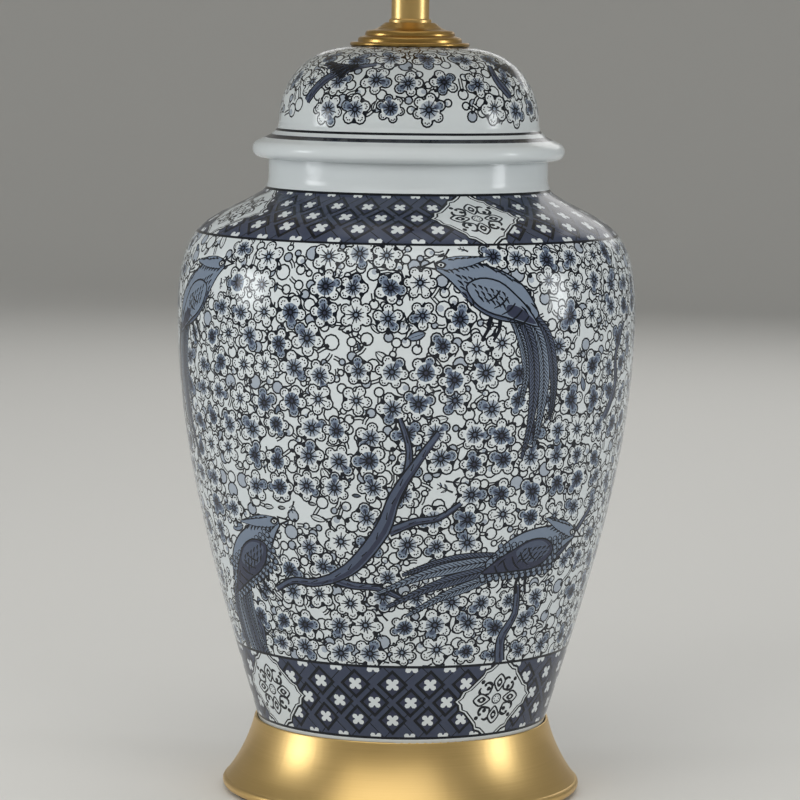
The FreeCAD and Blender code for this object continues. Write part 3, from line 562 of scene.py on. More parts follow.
class Sheet:
    """Flat drawing on a pot's unrolled outline: polygons in the order they are painted."""

    def __init__(self, outline):
        self.outline = outline
        self.shapes = []
        self.whole = (0.0, outline.corners[-1])
        self.window = self.whole

    def paint(self, points, ink):
        """A polygon in sheet measures, cut to the window and repeated past the back seam."""
        points = list(points)
        for limit, above in ((self.window[0], True), (self.window[1], False)):
            if any((p[1] >= limit) != above for p in points):
                points = clipped(points, 1, limit, above)
        size = area(points) if len(points) > 2 else 0.0
        if abs(size) < smallest_area or crosses_itself(points):
            return
        if size < 0:
            points.reverse()
        edge = SHEET_WIDTH / 2 + seam_margin
        low, high = min(p[0] for p in points), max(p[0] for p in points)
        for shift in (-SHEET_WIDTH, 0.0, SHEET_WIDTH):
            if low + shift > -edge and high + shift < edge:
                self.shapes.append(([(x + shift, y) for x, y in points], ink))

    def draw(self, motif, degrees, length, turn=0.0, flip=1, scale=1.0):
        """A motif of (polygon in true millimetres, ink), placed by angle and length."""
        cos, sin = math.cos(turn) * scale, math.sin(turn) * scale
        middle = math.radians(degrees) * SHEET_RADIUS
        top = self.outline.corners[-1]
        for points, ink in motif:
            moved = []
            for x, y in points:
                up = min(max(length + x * flip * sin + y * cos, 0.0), top)
                across = x * flip * cos - y * sin
                moved.append((middle + across * SHEET_RADIUS / self.outline.at(up)[0], up))
            self.paint(moved, ink)

    def band(self, low, high, ink):
        """A stripe all round between two lengths."""
        across = [SHEET_WIDTH * (i / sheet_columns - 0.5)
                  for i in range(-margin_columns, sheet_columns + margin_columns + 1)]
        self.shapes.append(([(x, low) for x in across] + [(x, high) for x in reversed(across)], ink))

    def cut_flat(self):
        """The flat sheet cut along its grid and every shape's edge: its points, its faces and
        the numbers of the shapes that cover each face."""
        half = SHEET_WIDTH / 2
        rows = self.outline.rows()
        corners = set(self.outline.corners)
        points, edges, faces = [], [], []
        for row in rows:
            for i in range(-margin_columns, sheet_columns + margin_columns + 1):
                if row in corners and i > -margin_columns:
                    edges.append((len(points) - 1, len(points)))
                points.append(Vector((-half + SHEET_WIDTH * i / sheet_columns, row)))
        for x in (-half, half):
            edges.append((len(points), len(points) + 1))
            points += [Vector((x, rows[0])), Vector((x, rows[-1]))]
        for shape, _ in self.shapes:
            faces.append(list(range(len(points), len(points) + len(shape))))
            points += [Vector(p) for p in shape]
        flat, _, cut, _, _, sources = delaunay_2d_cdt(points, edges, faces, 0, mend_distance, True)
        kept = [i for i, face in enumerate(cut)
                if abs(sum(flat[v][0] for v in face)) < half * len(face)]
        cut, sources = [cut[i] for i in kept], [sources[i] for i in kept]
        used = {v: i for i, v in enumerate(sorted({v for face in cut for v in face}))}
        return [flat[v] for v in used], [[used[v] for v in face] for face in cut], sources

    def face_inks(self, flat, cut, sources):
        """The number of each face's ink, which is that of the last shape over it. A shape whose
        faces cover more than its own area has spilt, and is left out."""
        covered = [0.0] * len(self.shapes)
        for face, ids in zip(cut, sources):
            size = abs(area([flat[v] for v in face]))
            for i in ids:
                covered[i] += size
        spilt = {i for i, (shape, _) in enumerate(self.shapes)
                 if covered[i] > area(shape) * spill_share + spill_area}
        chosen = []
        for ids in sources:
            dry = [i for i in ids if i not in spilt] if spilt else ids
            chosen.append(ink_order.index(self.shapes[max(dry)][1]) if dry else 0)
        return chosen

    def mesh(self, name):
        """The pot's closed mesh, each face in the ink that was painted over it last."""
        flat, cut, sources = self.cut_flat()
        lengths = [p[1] for p in flat]
        angles = [p[0] / SHEET_RADIUS for p in flat]
        turned = [self.outline.at(length) for length in lengths]
        solid = [(r * math.sin(a) * MM, -r * math.cos(a) * MM, z * MM)
                 for a, (r, z, _, _) in zip(angles, turned)]
        mesh = bpy.data.meshes.new(name)
        mesh.from_pydata(solid, [], cut)
        mesh.polygons.foreach_set("material_index", self.face_inks(flat, cut, sources))
        mesh.polygons.foreach_set("use_smooth", [True] * len(cut))
        normals = []
        for face in cut:
            centre = sum(lengths[v] for v in face) / len(face)
            for v in face:
                _, _, dr, dz = self.outline.at(lengths[v] + (centre - lengths[v]) * corner_nudge)
                normals.append((dz * math.sin(angles[v]), -dz * math.cos(angles[v]), -dr))
        piece = link_new(name, mesh, [inks[ink] for ink in ink_order])
        mesh.normals_split_custom_set(normals)
        weld(mesh)
        return piece


# ---------------------------------------------------------------- brush motifs
# The motifs of the painting, each a list of polygons with their inks, in true millimetres round
# its own middle: blossoms, buds, sprigs, branches and long-tailed birds.
line_width = 0.95
notch_gap = 0.012


def circle(x, y, radius, count=8, start=0.0):
    return [(x + radius * math.cos(start + math.tau * i / count),
             y + radius * math.sin(start + math.tau * i / count)) for i in range(count)]


def rosette(petals, reach, petal_radius, span, points, turn=0.0, uneven=()):
    """Outline of round petals set in a ring. Span is half of each petal's arc in degrees."""
    outline = []
    for i in range(petals):
        lean = turn + math.tau * i / petals
        size = petal_radius * (uneven[i] if uneven else 1.0)
        x, y = (reach - petal_radius) * math.cos(lean), (reach - petal_radius) * math.sin(lean)
        for k in range(points):
            around = lean + math.radians(span) * (2 * k / (points - 1) - 1)
            px, py = x + size * math.cos(around), y + size * math.sin(around)
            off = (math.atan2(py, px) - lean + math.pi) % math.tau - math.pi
            if abs(off) < math.pi / petals - notch_gap:
                outline.append((px, py))
    return outline


def smoothed(points, closed=True, steps=3):
    """Points of an even curve through a few given ones."""
    count = len(points)
    curve = []
    for i in range(count if closed else count - 1):
        quad = [points[(i + k) % count] if closed else points[min(max(i + k, 0), count - 1)]
                for k in (-1, 0, 1, 2)]
        for j in range(steps):
            t = j / steps
            curve.append(tuple(0.5 * (2 * b + (c - a) * t + (2 * a - 5 * b + 4 * c - d) * t * t
                                      + (3 * b - a - 3 * c + d) * t * t * t)
                               for a, b, c, d in zip(*quad)))
    return curve if closed else curve + [points[-1]]


def stroke(points, widths):
    """Brush stroke along points: its width runs evenly through the given widths."""
    left, right = [], []
    last = len(points) - 1
    for i, (x, y) in enumerate(points):
        (ax, ay), (bx, by) = points[max(i - 1, 0)], points[min(i + 1, last)]
        gap = math.hypot(bx - ax, by - ay) or 1.0
        share = i / last * (len(widths) - 1)
        k = min(int(share), len(widths) - 2)
        half = (widths[k] + (widths[k + 1] - widths[k]) * (share - k)) / 2
        nx, ny = (ay - by) / gap * half, (bx - ax) / gap * half
        left.append((x + nx, y + ny))
        right.append((x - nx, y - ny))
    return left + right[::-1]


def outlined(points, inner, ink="white"):
    """A navy shape with a smaller one of another ink on it."""
    return [(points, "navy"), (inner, ink)]


def blossom(rng, radius, wash):
    """Round petals in one outline, dots at the rim and stamens round an outlined eye. Wash is
    how much ink has run from the eye into the petals, from none to two."""
    petals = rng.choice((5, 5, 6))
    petal = (0.385 if petals == 5 else 0.335) * radius
    span = 108 if petals == 5 else 102
    uneven = [rng.uniform(0.93, 1.07) for _ in range(petals)]
    ring = rosette(petals, radius, petal, span, 7, uneven=uneven)
    field = rosette(petals, radius - line_width, petal - line_width, span + 14, 7, uneven=uneven)
    motif = outlined(ring, field)
    centre = radius - petal
    motif.append((circle(0, 0, 0.50 * radius, 10, rng.random()), ("white", "shadow", "pale")[wash]))
    stained = rng.sample(range(petals), (0, 1, rng.choice((1, 2)))[wash])
    for i in stained:
        x, y = centre * math.cos(math.tau * i / petals), centre * math.sin(math.tau * i / petals)
        motif.append((circle(x * 0.96, y * 0.96, (petal - line_width) * 0.98, 9), "pale"))
        motif.append((circle(x * 0.66, y * 0.66, (petal - line_width) * 0.62, 8), "wash"))
    motif.append((circle(0, 0, 0.33 * radius, 9, rng.random()), ("shadow", "pale", "wash")[wash]))
    stamens = rng.choice((10, 11, 12))
    for i in range(stamens):
        lean = math.tau * (i + rng.uniform(-0.2, 0.2)) / stamens
        reach = radius * rng.uniform(0.42, 0.60)
        base, half = radius * 0.12, 0.36
        tip = 0.28 / reach
        motif.append(([(base * math.cos(lean - half), base * math.sin(lean - half)),
                       (base * math.cos(lean + half), base * math.sin(lean + half)),
                       (reach * math.cos(lean + tip), reach * math.sin(lean + tip)),
                       (reach * math.cos(lean - tip), reach * math.sin(lean - tip))], "navy"))
    motif += outlined(circle(0, 0, radius * 0.21, 8), circle(0, 0, radius * 0.10, 6),
                      ("pale", "wash", "deep")[wash])
    for i in range(petals):
        for lean in rng.choice(((-1.0, 0.0, 1.0), (-0.8, 0.2, 1.1), (-1.2, -0.4, 0.4, 1.2))):
            around = math.tau * i / petals
            x = centre * math.cos(around) + petal * 0.38 * math.cos(around + lean)
            y = centre * math.sin(around) + petal * 0.38 * math.sin(around + lean)
            motif.append((circle(x, y, 0.5, 5, rng.random()), "navy"))
    return motif


def bud(rng, radius):
    """Round bud, with its calyx as a small blot at the stem."""
    motif = outlined(circle(0, 0, radius, 10), circle(0, 0, radius - line_width, 10),
                     rng.choice(("white", "white", "white", "shadow")))
    if rng.random() < 0.35:
        motif.append((circle(radius * 0.2, -radius * 0.3, radius * 0.42, 7), "shadow"))
    if rng.random() < 0.5:
        motif.append((circle(0, -radius * 0.72, radius * 0.34, 6), "navy"))
    return motif


def bud_stem(rng, radius):
    """Curved stalk drawn with two lines, from under a bud."""
    reach = radius * rng.uniform(2.0, 2.8)
    bend = rng.uniform(-0.5, 0.5) * reach
    curve = [(0, 0), (bend * 0.35, -reach * 0.4), (bend * 0.8, -reach * 0.75), (bend * 1.5, -reach)]
    return [(stroke(curve, (2.5, 2.3)), "navy"), (stroke(curve, (0.9, 0.7)), "white")]


def leaf(length, width, ink):
    """Pointed leaf from its stalk at the middle out along +x, with a midrib."""
    side = smoothed([(0, 0), (length * 0.3, width * 0.45), (length * 0.7, width * 0.4), (length, 0),
                     (length * 0.7, -width * 0.4), (length * 0.3, -width * 0.45)], steps=2)
    inner = [(length / 2 + (x - length / 2) * (1 - 1.6 * line_width / length),
              y * (1 - 2 * line_width / width)) for x, y in side]
    return outlined(side, inner, ink) + [(stroke([(0.8, 0), (length * 0.8, 0)], (0.4, 0.15)), "navy")]


def shifted(motif, x, y, turn):
    """A motif turned about its middle and moved."""
    cos, sin = math.cos(turn), math.sin(turn)
    return [([(x + px * cos - py * sin, y + px * sin + py * cos) for px, py in points], ink)
            for points, ink in motif]


def sprig(rng, length, leaves):
    """Curved stem with leaves to both sides, like a fern."""
    bend = rng.uniform(-0.25, 0.25)
    stem = [(length * t, length * bend * t * t) for t in (0, 0.25, 0.5, 0.75, 1)]
    motif = [(stroke(stem, (1.2, 0.5)), "navy")]
    for i in range(leaves):
        t = (i + 1) / (leaves + 1)
        reach = length * 0.42 * (1.15 - 0.6 * t)
        for side in (-1, 1):
            motif += shifted(leaf(reach, reach * 0.34, rng.choice(("white", "shadow", "pale"))),
                             length * t, length * bend * t * t, side * 0.75)
    return motif


def branch(points, widths, rng):
    """Outlined limb of a plum tree with darker strokes along its lower side."""
    curve = smoothed(points, closed=False, steps=4)
    limb = stroke(curve, [w + 2 * line_width for w in widths])
    motif = [(limb, "navy"), (stroke(curve, widths), "wash")]
    thick = max(widths)
    motif.append((stroke([(x + 0.12 * thick, y - 0.16 * thick) for x, y in curve],
                         [w * 0.36 for w in widths]), "deep"))
    for i in range(1, len(curve) - 2, 2):
        (x, y), (bx, by) = curve[i], curve[i + 1]
        lean = math.atan2(by - y, bx - x) + rng.uniform(-0.25, 0.25)
        off = rng.uniform(-0.25, 0.25) * thick
        motif += shifted([(stroke([(0, 0), (4.2, 0.4)], (0.75, 0.3)), "navy")], x, y + off, lean)
    return motif


def feather(points, width, ink):
    """Long tail feather with slanting barbs along its shaft."""
    curve = smoothed(points, closed=False, steps=5)
    motif = [(stroke(curve, (width * 0.7 + 1.4, width + 1.4, 2.2)), "navy"),
             (stroke(curve, (width * 0.7, width, 0.9)), ink),
             (stroke(curve, (0.8, 0.6, 0.4)), "navy")]
    for i in range(1, len(curve) - 2):
        (ax, ay), (bx, by) = curve[i], curve[i + 1]
        lean = math.atan2(by - ay, bx - ax)
        for x, y in ((ax, ay), ((ax + bx) / 2, (ay + by) / 2)):
            for side in (-1, 1):
                reach = width * 0.66
                barb = stroke([(0, 0), (reach * 0.9, side * reach * 0.62)], (0.6, 0.4))
                motif += shifted([(barb, "navy")], x, y, lean)
    return motif


def dashes(rng, centres, lean, reach):
    """Short tapered feather strokes."""
    dash = stroke([(0, 0), (reach * 0.5, 0.35), (reach, 0)], (0.6, 1.15, 0.4))
    motif = []
    for x, y in centres:
        motif += shifted([(dash, "navy")], x, y, lean + rng.uniform(-0.15, 0.15))
    return motif


body_line = [(-33.5, 11.0), (-30, 15.0), (-23, 16.6), (-14, 15.4), (-6, 13.0), (2, 10.4),
             (10, 6.2), (17, 0.2), (22.5, -8), (25, -15), (18, -18.5), (8, -18), (-3, -15.5),
             (-13, -9.5), (-20, -2.0), (-27, 5.5)]
wing_line = [(-17, 1.5), (-9, 6.0), (2, 4.0), (11, -3.0), (19, -11.0), (25, -20.5), (15, -18.5),
             (5, -15.5), (-5, -12.5), (-13, -7.0)]


def shrunk(points, gap):
    """A polygon drawn in by a gap towards its inside, point by point."""
    inner = []
    count = len(points)
    for i in range(count):
        (ax, ay), (x, y), (bx, by) = points[i - 1], points[i], points[(i + 1) % count]
        dx, dy = bx - ax, by - ay
        size = math.hypot(dx, dy) or 1.0
        inner.append((x + dy / size * gap, y - dx / size * gap))
    return inner


def bird(rng, tail, scaled=False):
    """Long-tailed bird in profile, facing left, with crest, folded wing and streaming tail."""
    motif = []
    for i, (points, width) in enumerate(tail):
        motif += feather(points, width, ("wash", "pale", "pale")[i % 3])
    motif.append((stroke([(-3, -13), (-5, -21), (-8, -26)], (2.8, 2.0, 1.6)), "navy"))
    motif.append((stroke([(2, -14), (1, -22), (-2, -27)], (2.8, 2.0, 1.6)), "navy"))
    body = smoothed(body_line)
    motif += outlined(body, shrunk(body, line_width), "pale")
    motif.append((smoothed([(-20, -1.5), (-10, -3.0), (2, -9.0), (14, -12.0), (22, -14.0),
                            (17, -17.4), (7, -16.8), (-4, -14.0), (-13, -8.0)]), "wash"))
    if scaled:
        for row in range(8):
            for k in range(12 - row % 2):
                x, y = -23 + k * 3.9 + (row % 2) * 1.9 + row * 0.6, 9.0 - row * 3.0 - k * 1.15
                motif += [(circle(x, y, 2.0, 7), "navy"), (circle(x + 0.2, y + 0.3, 1.2, 6), "pale")]
    else:
        for row in range(4):
            motif += dashes(rng, [(-22 + 3.3 * k + row, 7.6 - 0.62 * k - 3.1 * row)
                                  for k in range(8)], -0.75, 4.2)
        motif += dashes(rng, [(-6 + 3.0 * k, 12.6 - 1.6 * k) for k in range(9)], -0.55, 4.6)
        motif += dashes(rng, [(-17 + 3.2 * k, -4.5 - 1.3 * k) for k in range(9)], -1.2, 3.0)
    wing = smoothed(wing_line)
    motif += outlined(wing, shrunk(wing, line_width), "deep" if scaled else "pale")
    motif.append((smoothed([(-14, 0.3), (-7, 4.2), (2, 2.2), (9, -4.5), (3, -9), (-7, -7)]),
                  "wash" if scaled else "pale"))
    motif.append((smoothed([(6, -8.6), (14, -10.5), (23.4, -18.8), (14, -16.9), (6, -13.6)]), "deep"))
    for row, (count, reach) in enumerate(((6, 3.4), (6, 4.0), (5, 4.6))):
        motif += dashes(rng, [(-13.5 + 3.3 * k + 1.5 * row, 2.9 - 0.9 * k - 3.2 * row)
                              for k in range(count)], -0.95, reach)
    for k in range(5):
        x, y = 2 + k * 4.2, -1.0 - k * 3.4
        motif.append((stroke(smoothed([(x, y), (x - 3.4, y - 3.6), (x - 8, y - 5.8)], False),
                             (0.9, 1.1, 0.5)), "navy"))
    crest = smoothed([(-32, 11.5), (-29, 15.2), (-21, 17.6), (-11, 17.6), (-2, 16.6), (-9, 13.4),
                      (-15, 11.4), (-23, 9.8), (-28, 9.8)])
    motif += outlined(crest, shrunk(crest, 0.55 * line_width), "pale")
    motif += dashes(rng, [(-28 + 2.7 * k, 9.8 + 0.45 * k) for k in range(9)], -0.55, 3.4)
    motif += dashes(rng, [(-25 + 3.4 * k, 15.4 + 0.25 * k) for k in range(6)], 0.05, 3.4)
    motif += dashes(rng, [(14, -9.5), (17, -8.5), (20, -8)], -0.95, 6.0)
    motif += outlined([(-40.5, 11.4), (-32.0, 15.2), (-31.2, 9.6)],
                      [(-37.2, 11.7), (-32.8, 13.7), (-32.4, 11.0)])
    motif += outlined(smoothed([(-32.0, 12.6), (-29.4, 14.8), (-26.0, 13.0), (-28.4, 10.6)]),
                      smoothed([(-30.7, 12.6), (-29.3, 13.6), (-27.4, 12.8), (-28.6, 11.6)]))
    motif.append((circle(-29.0, 12.6, 0.8, 6), "navy"))
    return motif


falling_tail = [([(16, -10), (30, -24), (35, -42), (36, -58), (34, -70)], 5.0),
                ([(8, -14), (15, -28), (18, -44), (15, -60)], 5.0),
                ([(14, -12), (25, -26), (29, -46), (28, -66), (25, -84)], 6.6),
                ([(12, -13), (20, -28), (23, -48), (22, -70), (18, -90)], 6.0)]
sweeping_tail = [([(16, -9), (34, -13), (52, -21), (66, -31)], 5.2),
                 ([(10, -14), (24, -25), (40, -37), (54, -52)], 5.2),
                 ([(14, -10), (34, -17), (55, -28), (74, -44)], 6.4),
                 ([(12, -13), (30, -22), (49, -34), (66, -50)], 6.0)]


def quatrefoil(reach):
    return rosette(4, reach, reach * 0.38, 132, 6, turn=math.pi / 4)


# ---------------------------------------------------------------- the jar
# Thrown and turned porcelain, 5 mm thick, open at the neck and pierced in its foot for the rod.
# The outline is that of the jar's solid, and the painting wraps the outside.
jar_outline = Outline(
    (77.7, 34.5),
    ((100.63, 110.93), (125.4, 184.6), (125.4, 263.9)),
    ((125.4, 317.5), (107.76, 313.21), (79.6, 330.6)),
    ((78.2, 331.47), (76.3, 334.55), (76.3, 338.5)),
    ((76.3, 348.8),),
    ((75.949, 349.649), (75.1, 350.0)),
    ((71.3, 350.0),),
    ((71.3, 338.5),),
    ((71.3, 334.5), (73.4, 329.2), (76.97, 326.35)),
    ((105.13, 308.96), (120.4, 317.5), (120.4, 263.9)),
    ((120.4, 184.6), (97.4, 117.6), (75.33, 44.0)),
    ((9.0, 44.0),),
    ((9.0, 36.5),),
    ((62.7, 36.5),),
    ((62.7, 34.5),),
    ((77.7, 34.5),),
)
jar = Sheet(jar_outline)
band_low = jar_outline.length_at(42.5)
field_low = jar_outline.length_at(83.0)
field_high = jar_outline.length_at(308.5)
neck_line = jar_outline.length_at(332.3)
line_thickness = 1.5


lattice_rows = 4
bar_half = 0.4
cell_steps = ((0.84, "navy"), (0.62, "deep"))
cell_flower = 0.41


def lattice(sheet, low, high, count):
    """Diagonal bars with a quatrefoil in each gap, between two lengths."""
    sheet.window = (low, high)
    sheet.band(low, high, "slate")
    pitch, rise = 360 / count, (high - low) / lattice_rows
    step = math.radians(pitch) * SHEET_RADIUS
    for i in range(-count // 2 - lattice_rows, count // 2 + lattice_rows):
        for side in (-1, 1):
            x = (i + 0.5) * step
            far = x + side * 2 * step
            sheet.paint([(x - bar_half, low), (x + bar_half, low), (far + bar_half, high),
                         (far - bar_half, high)], "navy")
    for j in range(lattice_rows + 1):
        middle = low + j * rise
        radius = sheet.outline.at(middle)[0]
        wide = math.radians(pitch / 2) * radius
        for i in range(count):
            degrees = -180 + pitch * (i + 0.5 * (j % 2) + 0.25)
            cell = [([(wide * size, 0), (0, rise * size), (-wide * size, 0), (0, -rise * size)], ink)
                    for size, ink in cell_steps]
            flower = quatrefoil(min(wide, rise) * cell_flower)
            sheet.draw(cell + [(flower, "white")], degrees, middle)
    sheet.window = sheet.whole


cartouche_quarter = [(26.5, 0.0), (24.0, 2.2), (22.8, 5.8), (19.6, 7.2), (12.0, 15.6), (11.0, 18.4),
                     (7.8, 19.4), (4.2, 22.6), (2.2, 24.8), (0.0, 26.5)]
cartouche_steps = ((1.0, "navy"), (0.94, "white"), (0.90, "navy"), (0.86, "white"))
medallion_scale = 1.15


def medallion():
    """Ring with four tear-shaped petals and small scrolls between them."""
    motif = []
    for i in range(4):
        lean = i * math.pi / 2
        tear = smoothed([(3.4, 0), (6.2, 2.5), (9.6, 3.5), (13.2, 0), (9.6, -3.5), (6.2, -2.5)])
        core = smoothed([(5.8, 0), (8.2, 1.7), (10.8, 0), (8.2, -1.7)])
        motif += shifted(outlined(tear, shrunk(tear, line_width))
                         + [(core, "navy"), (circle(8.4, 0, 0.75, 6), "white")], 0, 0, lean)
        for side in (-1, 1):
            hook = [(5.4, 1.2), (7.8, 3.4 * side + 1.0), (10.6, 3.0 * side + 1.2),
                    (11.4, 1.0 * side + 1.4)]
            motif += shifted([(stroke(smoothed(hook, False), (1.0, 1.7, 0.7)), "navy")], 0, 0,
                             lean + math.pi / 4)
        motif += shifted([(circle(13.2, 0, 1.2, 6), "navy"), (circle(8.0, 0, 1.2, 6), "navy"),
                          (circle(10.8, 0, 0.9, 5), "navy")], 0, 0, lean + math.pi / 4)
    motif += outlined(circle(0, 0, 2.9, 10), circle(0, 0, 2.1, 10))
    for i in range(6):
        x, y = 1.35 * math.cos(math.tau * i / 6), 1.35 * math.sin(math.tau * i / 6)
        motif.append((circle(x, y, 0.42, 4), "navy"))
    return motif


def cartouche(sheet, low, high, degrees):
    """White bracket-edged panel cut off by the band's edges, with a medallion."""
    right = cartouche_quarter + [(-x, y) for x, y in cartouche_quarter[-2::-1]]
    panel = right + [(-x, -y) for x, y in right[1:-1]]
    sheet.window = (low, high)
    middle = (low + high) / 2
    for size, ink in cartouche_steps:
        sheet.draw([([(x * size, y * size) for x, y in panel], ink)], degrees, middle)
    sheet.draw(medallion(), degrees, middle, scale=medallion_scale)
    sheet.window = sheet.whole


# The flower field: blossoms in even rows that leave the birds' bodies free, buds and leaves in the
# gaps between them, and the trees and birds over it all. The same trees and birds stand on the
# front and on the back.
rng = random.Random(7)
taken = []
blossom_core = 0.62
tones = (0, 1, 1, 2)


def free(sheet, x, y, radius, share):
    """True where a round space keeps that share of its distance from all the taken ones."""
    size = sheet.outline.at(y)[0] / SHEET_RADIUS
    for ox, oy, other in taken:
        if abs(oy - y) > radius + other:
            continue
        across = abs(ox - x)
        across = min(across, SHEET_WIDTH - across) * size
        if math.hypot(across, oy - y) < (radius + other) * share:
            return False
    return True


def gaps(sheet, low, high, sizes, share, tries):
    """Round spaces left between the taken ones, each of them taken as it is found."""
    found = []
    for _ in range(tries):
        x, y = rng.uniform(-0.5, 0.5) * SHEET_WIDTH, rng.uniform(low, high)
        radius = rng.choice(sizes)
        if free(sheet, x, y, radius, share):
            taken.append((x, y, radius))
            found.append((x, y, radius))
    return found


def draw_blossoms(sheet, spots):
    for x, y, radius in spots:
        sheet.draw(blossom(rng, radius, rng.choice(tones)), math.degrees(x / SHEET_RADIUS), y,
                   rng.uniform(0, math.tau))


bird_spots = (
    # degrees, height, turn, flip, tail, scaled
    (22, 286, 0.0, 1, falling_tail, False),
    (38, 148, -0.25, -1, sweeping_tail, True),
    (-50, 141, 0.25, -1, falling_tail, True),
    (-66, 278, 0.15, -1, falling_tail, False),
)
branch_spots = (
    # root degrees and height, points in mm from the root, widths
    (-21, 131, [(0, 0), (12, -3), (25, -4), (38, -10)], (3.4, 3.0, 2.2, 1.4)),
    (-21, 131, [(0, 0), (-11, -3), (-23, -3), (-35, -9)], (4.4, 3.4, 2.6, 1.8)),
    (-7, 160, [(0, 0), (13, 22), (17, 42), (12, 60)], (5.0, 3.6, 2.4, 1.2)),
    (-4, 158, [(0, 0), (14, 6), (26, 8), (38, 16)], (4.0, 3.0, 2.2, 1.2)),
    (-21, 131, [(0, 0), (14, 9), (30, 29), (38, 48), (50, 66), (62, 82)],
     (4.2, 6.4, 7.0, 5.0, 3.2, 1.6)),
    (36, 132, [(0, 0), (18, 6), (34, 18), (50, 34)], (4.4, 3.8, 2.8, 1.6)),
    (34, 84, [(0, 0), (-2, 14), (4, 28), (2, 44)], (5.0, 4.2, 3.0, 2.4)),
    (-54, 84, [(0, 0), (4, 14), (-3, 28), (4, 44)], (5.4, 4.4, 3.4, 2.4)),
    (60, 214, [(0, 0), (10, 16), (8, 34), (18, 50)], (4.0, 3.0, 2.0, 1.4)),
    (-78, 190, [(0, 0), (-8, 18), (-4, 36), (-14, 54)], (4.0, 3.0, 2.0, 1.4)),
)


# x, y and radius of the round spaces that a bird's body fills
bird_body = ((-26, 11, 5), (-14, 6, 6), (-2, 0, 7), (10, -6, 7), (20, -14, 5))
sides = (0, 180)
for around in sides:
    for degrees, height, turn, flip, _, _ in bird_spots:
        length = jar_outline.length_at(height)
        cos, sin = math.cos(turn), math.sin(turn)
        for x, y, radius in bird_body:
            across, up = x * flip * cos - y * sin, x * flip * sin + y * cos
            off = math.degrees(across / jar_outline.at(length + up)[0])
            taken.append((math.radians(degrees + around + off) * SHEET_RADIUS, length + up, radius))

blossom_rows = 15
blossom_pitch = 17.6
skipped_share = 0.09
row_gap = (field_high - field_low) / blossom_rows
blossoms = []
for row in range(blossom_rows):
    middle = field_low + row_gap * (row + 0.5)
    count = round(math.tau * jar_outline.at(middle)[0] / blossom_pitch)
    for i in range(count):
        x = SHEET_WIDTH * ((i + 0.5 * (row % 2) + rng.uniform(-0.13, 0.13)) / count - 0.5)
        y = middle + rng.uniform(-2.6, 2.6)
        radius = rng.uniform(8.2, 10.2)
        if rng.random() < skipped_share or not free(jar, x, y, radius * 0.8, 1.0):
            continue
        blossoms.append((x, y, radius))
rng.shuffle(blossoms)
taken += [(x, y, radius * blossom_core) for x, y, radius in blossoms]

gap_sizes = (2.2, 3.0, 3.8, 4.6)
gap_share = 0.80
gap_tries = 12000
sprigs_below = 0.12
leaves_below = 0.24
kinds = [(x, y, radius, rng.uniform(0, math.tau), rng.random()) for x, y, radius
         in gaps(jar, field_low + 2, field_high - 2, gap_sizes, gap_share, gap_tries)]
for x, y, radius, turn, kind in kinds:
    if kind >= leaves_below:
        jar.draw(bud_stem(rng, radius), math.degrees(x / SHEET_RADIUS), y, turn)
for x, y, radius, turn, kind in kinds:
    if kind < sprigs_below:
        motif = sprig(rng, radius * 2.6, 2)
    elif kind < leaves_below:
        motif = leaf(radius * 2.4, radius * 1.2, rng.choice(("white", "pale")))
    else:
        motif = bud(rng, radius)
    jar.draw(motif, math.degrees(x / SHEET_RADIUS), y, turn)
draw_blossoms(jar, blossoms)
for around in sides:
    for degrees, height, points, widths in branch_spots:
        jar.draw(branch(points, widths, rng), degrees + around, jar_outline.length_at(height))
for around in sides:
    for degrees, height, turn, flip, tail, scaled in bird_spots:
        jar.draw(bird(rng, tail, scaled), degrees + around, jar_outline.length_at(height), turn,
                 flip)

# The white foot and neck, the two lattice bands with their panels, and the lines between them.
foot_cells, shoulder_cells = 28, 32
foot_panel, shoulder_panel = 36, 22
jar.band(0.0, band_low, "white")
jar.band(neck_line, jar_outline.length_at(349.0), "white")
lattice(jar, band_low, field_low, foot_cells)
lattice(jar, field_high, neck_line, shoulder_cells)
for quarter in (0, 90, 180, 270):
    cartouche(jar, field_high, neck_line, shoulder_panel + quarter)
    cartouche(jar, band_low, field_low, foot_panel + quarter)
for middle in (band_low, field_low, field_high, neck_line):
    jar.band(middle - line_thickness / 2, middle + line_thickness / 2, "navy")

painted_jar = jar.mesh("painted_jar")
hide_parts("porcelain_jar")
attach(painted_jar, "lamp")

# ---------------------------------------------------------------- the lid
# Porcelain like the jar, with a rounded lip over the neck and a spigot inside it. The rod clamps
# it down through the hole in its crown.
lid_outline = Outline(
    (77.3, 350.8),
    ((77.7, 348.9),),
    ((80.3, 348.9),),
    ((85.3, 353.4), (82.4, 358.1)),
    ((76.55, 360.70), (71.6, 362.5), (71.05, 367.5)),
    ((71.05, 392.0), (55.3, 409.7), (29.0, 409.7)),
    ((8.2, 409.7),),
    ((8.2, 404.7),),
    ((26.5, 404.7),),
    ((52.8, 404.7), (66.05, 392.0), (66.05, 367.5)),
    ((65.0, 350.8),),
    ((65.0, 341.8),),
    ((70.0, 341.8),),
    ((70.0, 350.8),),
    ((77.3, 350.8),),
)
lid = Sheet(lid_outline)
lip_band = lid_outline.length_at(359.6)
crown_line = lid_outline.length_at(364.1)
crown_low = lid_outline.length_at(368.5)
crown_high = lid_outline.length_at(409.6)
taken = []
crown = []
crown_rows = 4
crown_pitch = 19.5
left_out_by_lip = 0.3
crown_gap = (crown_high - crown_low) / crown_rows
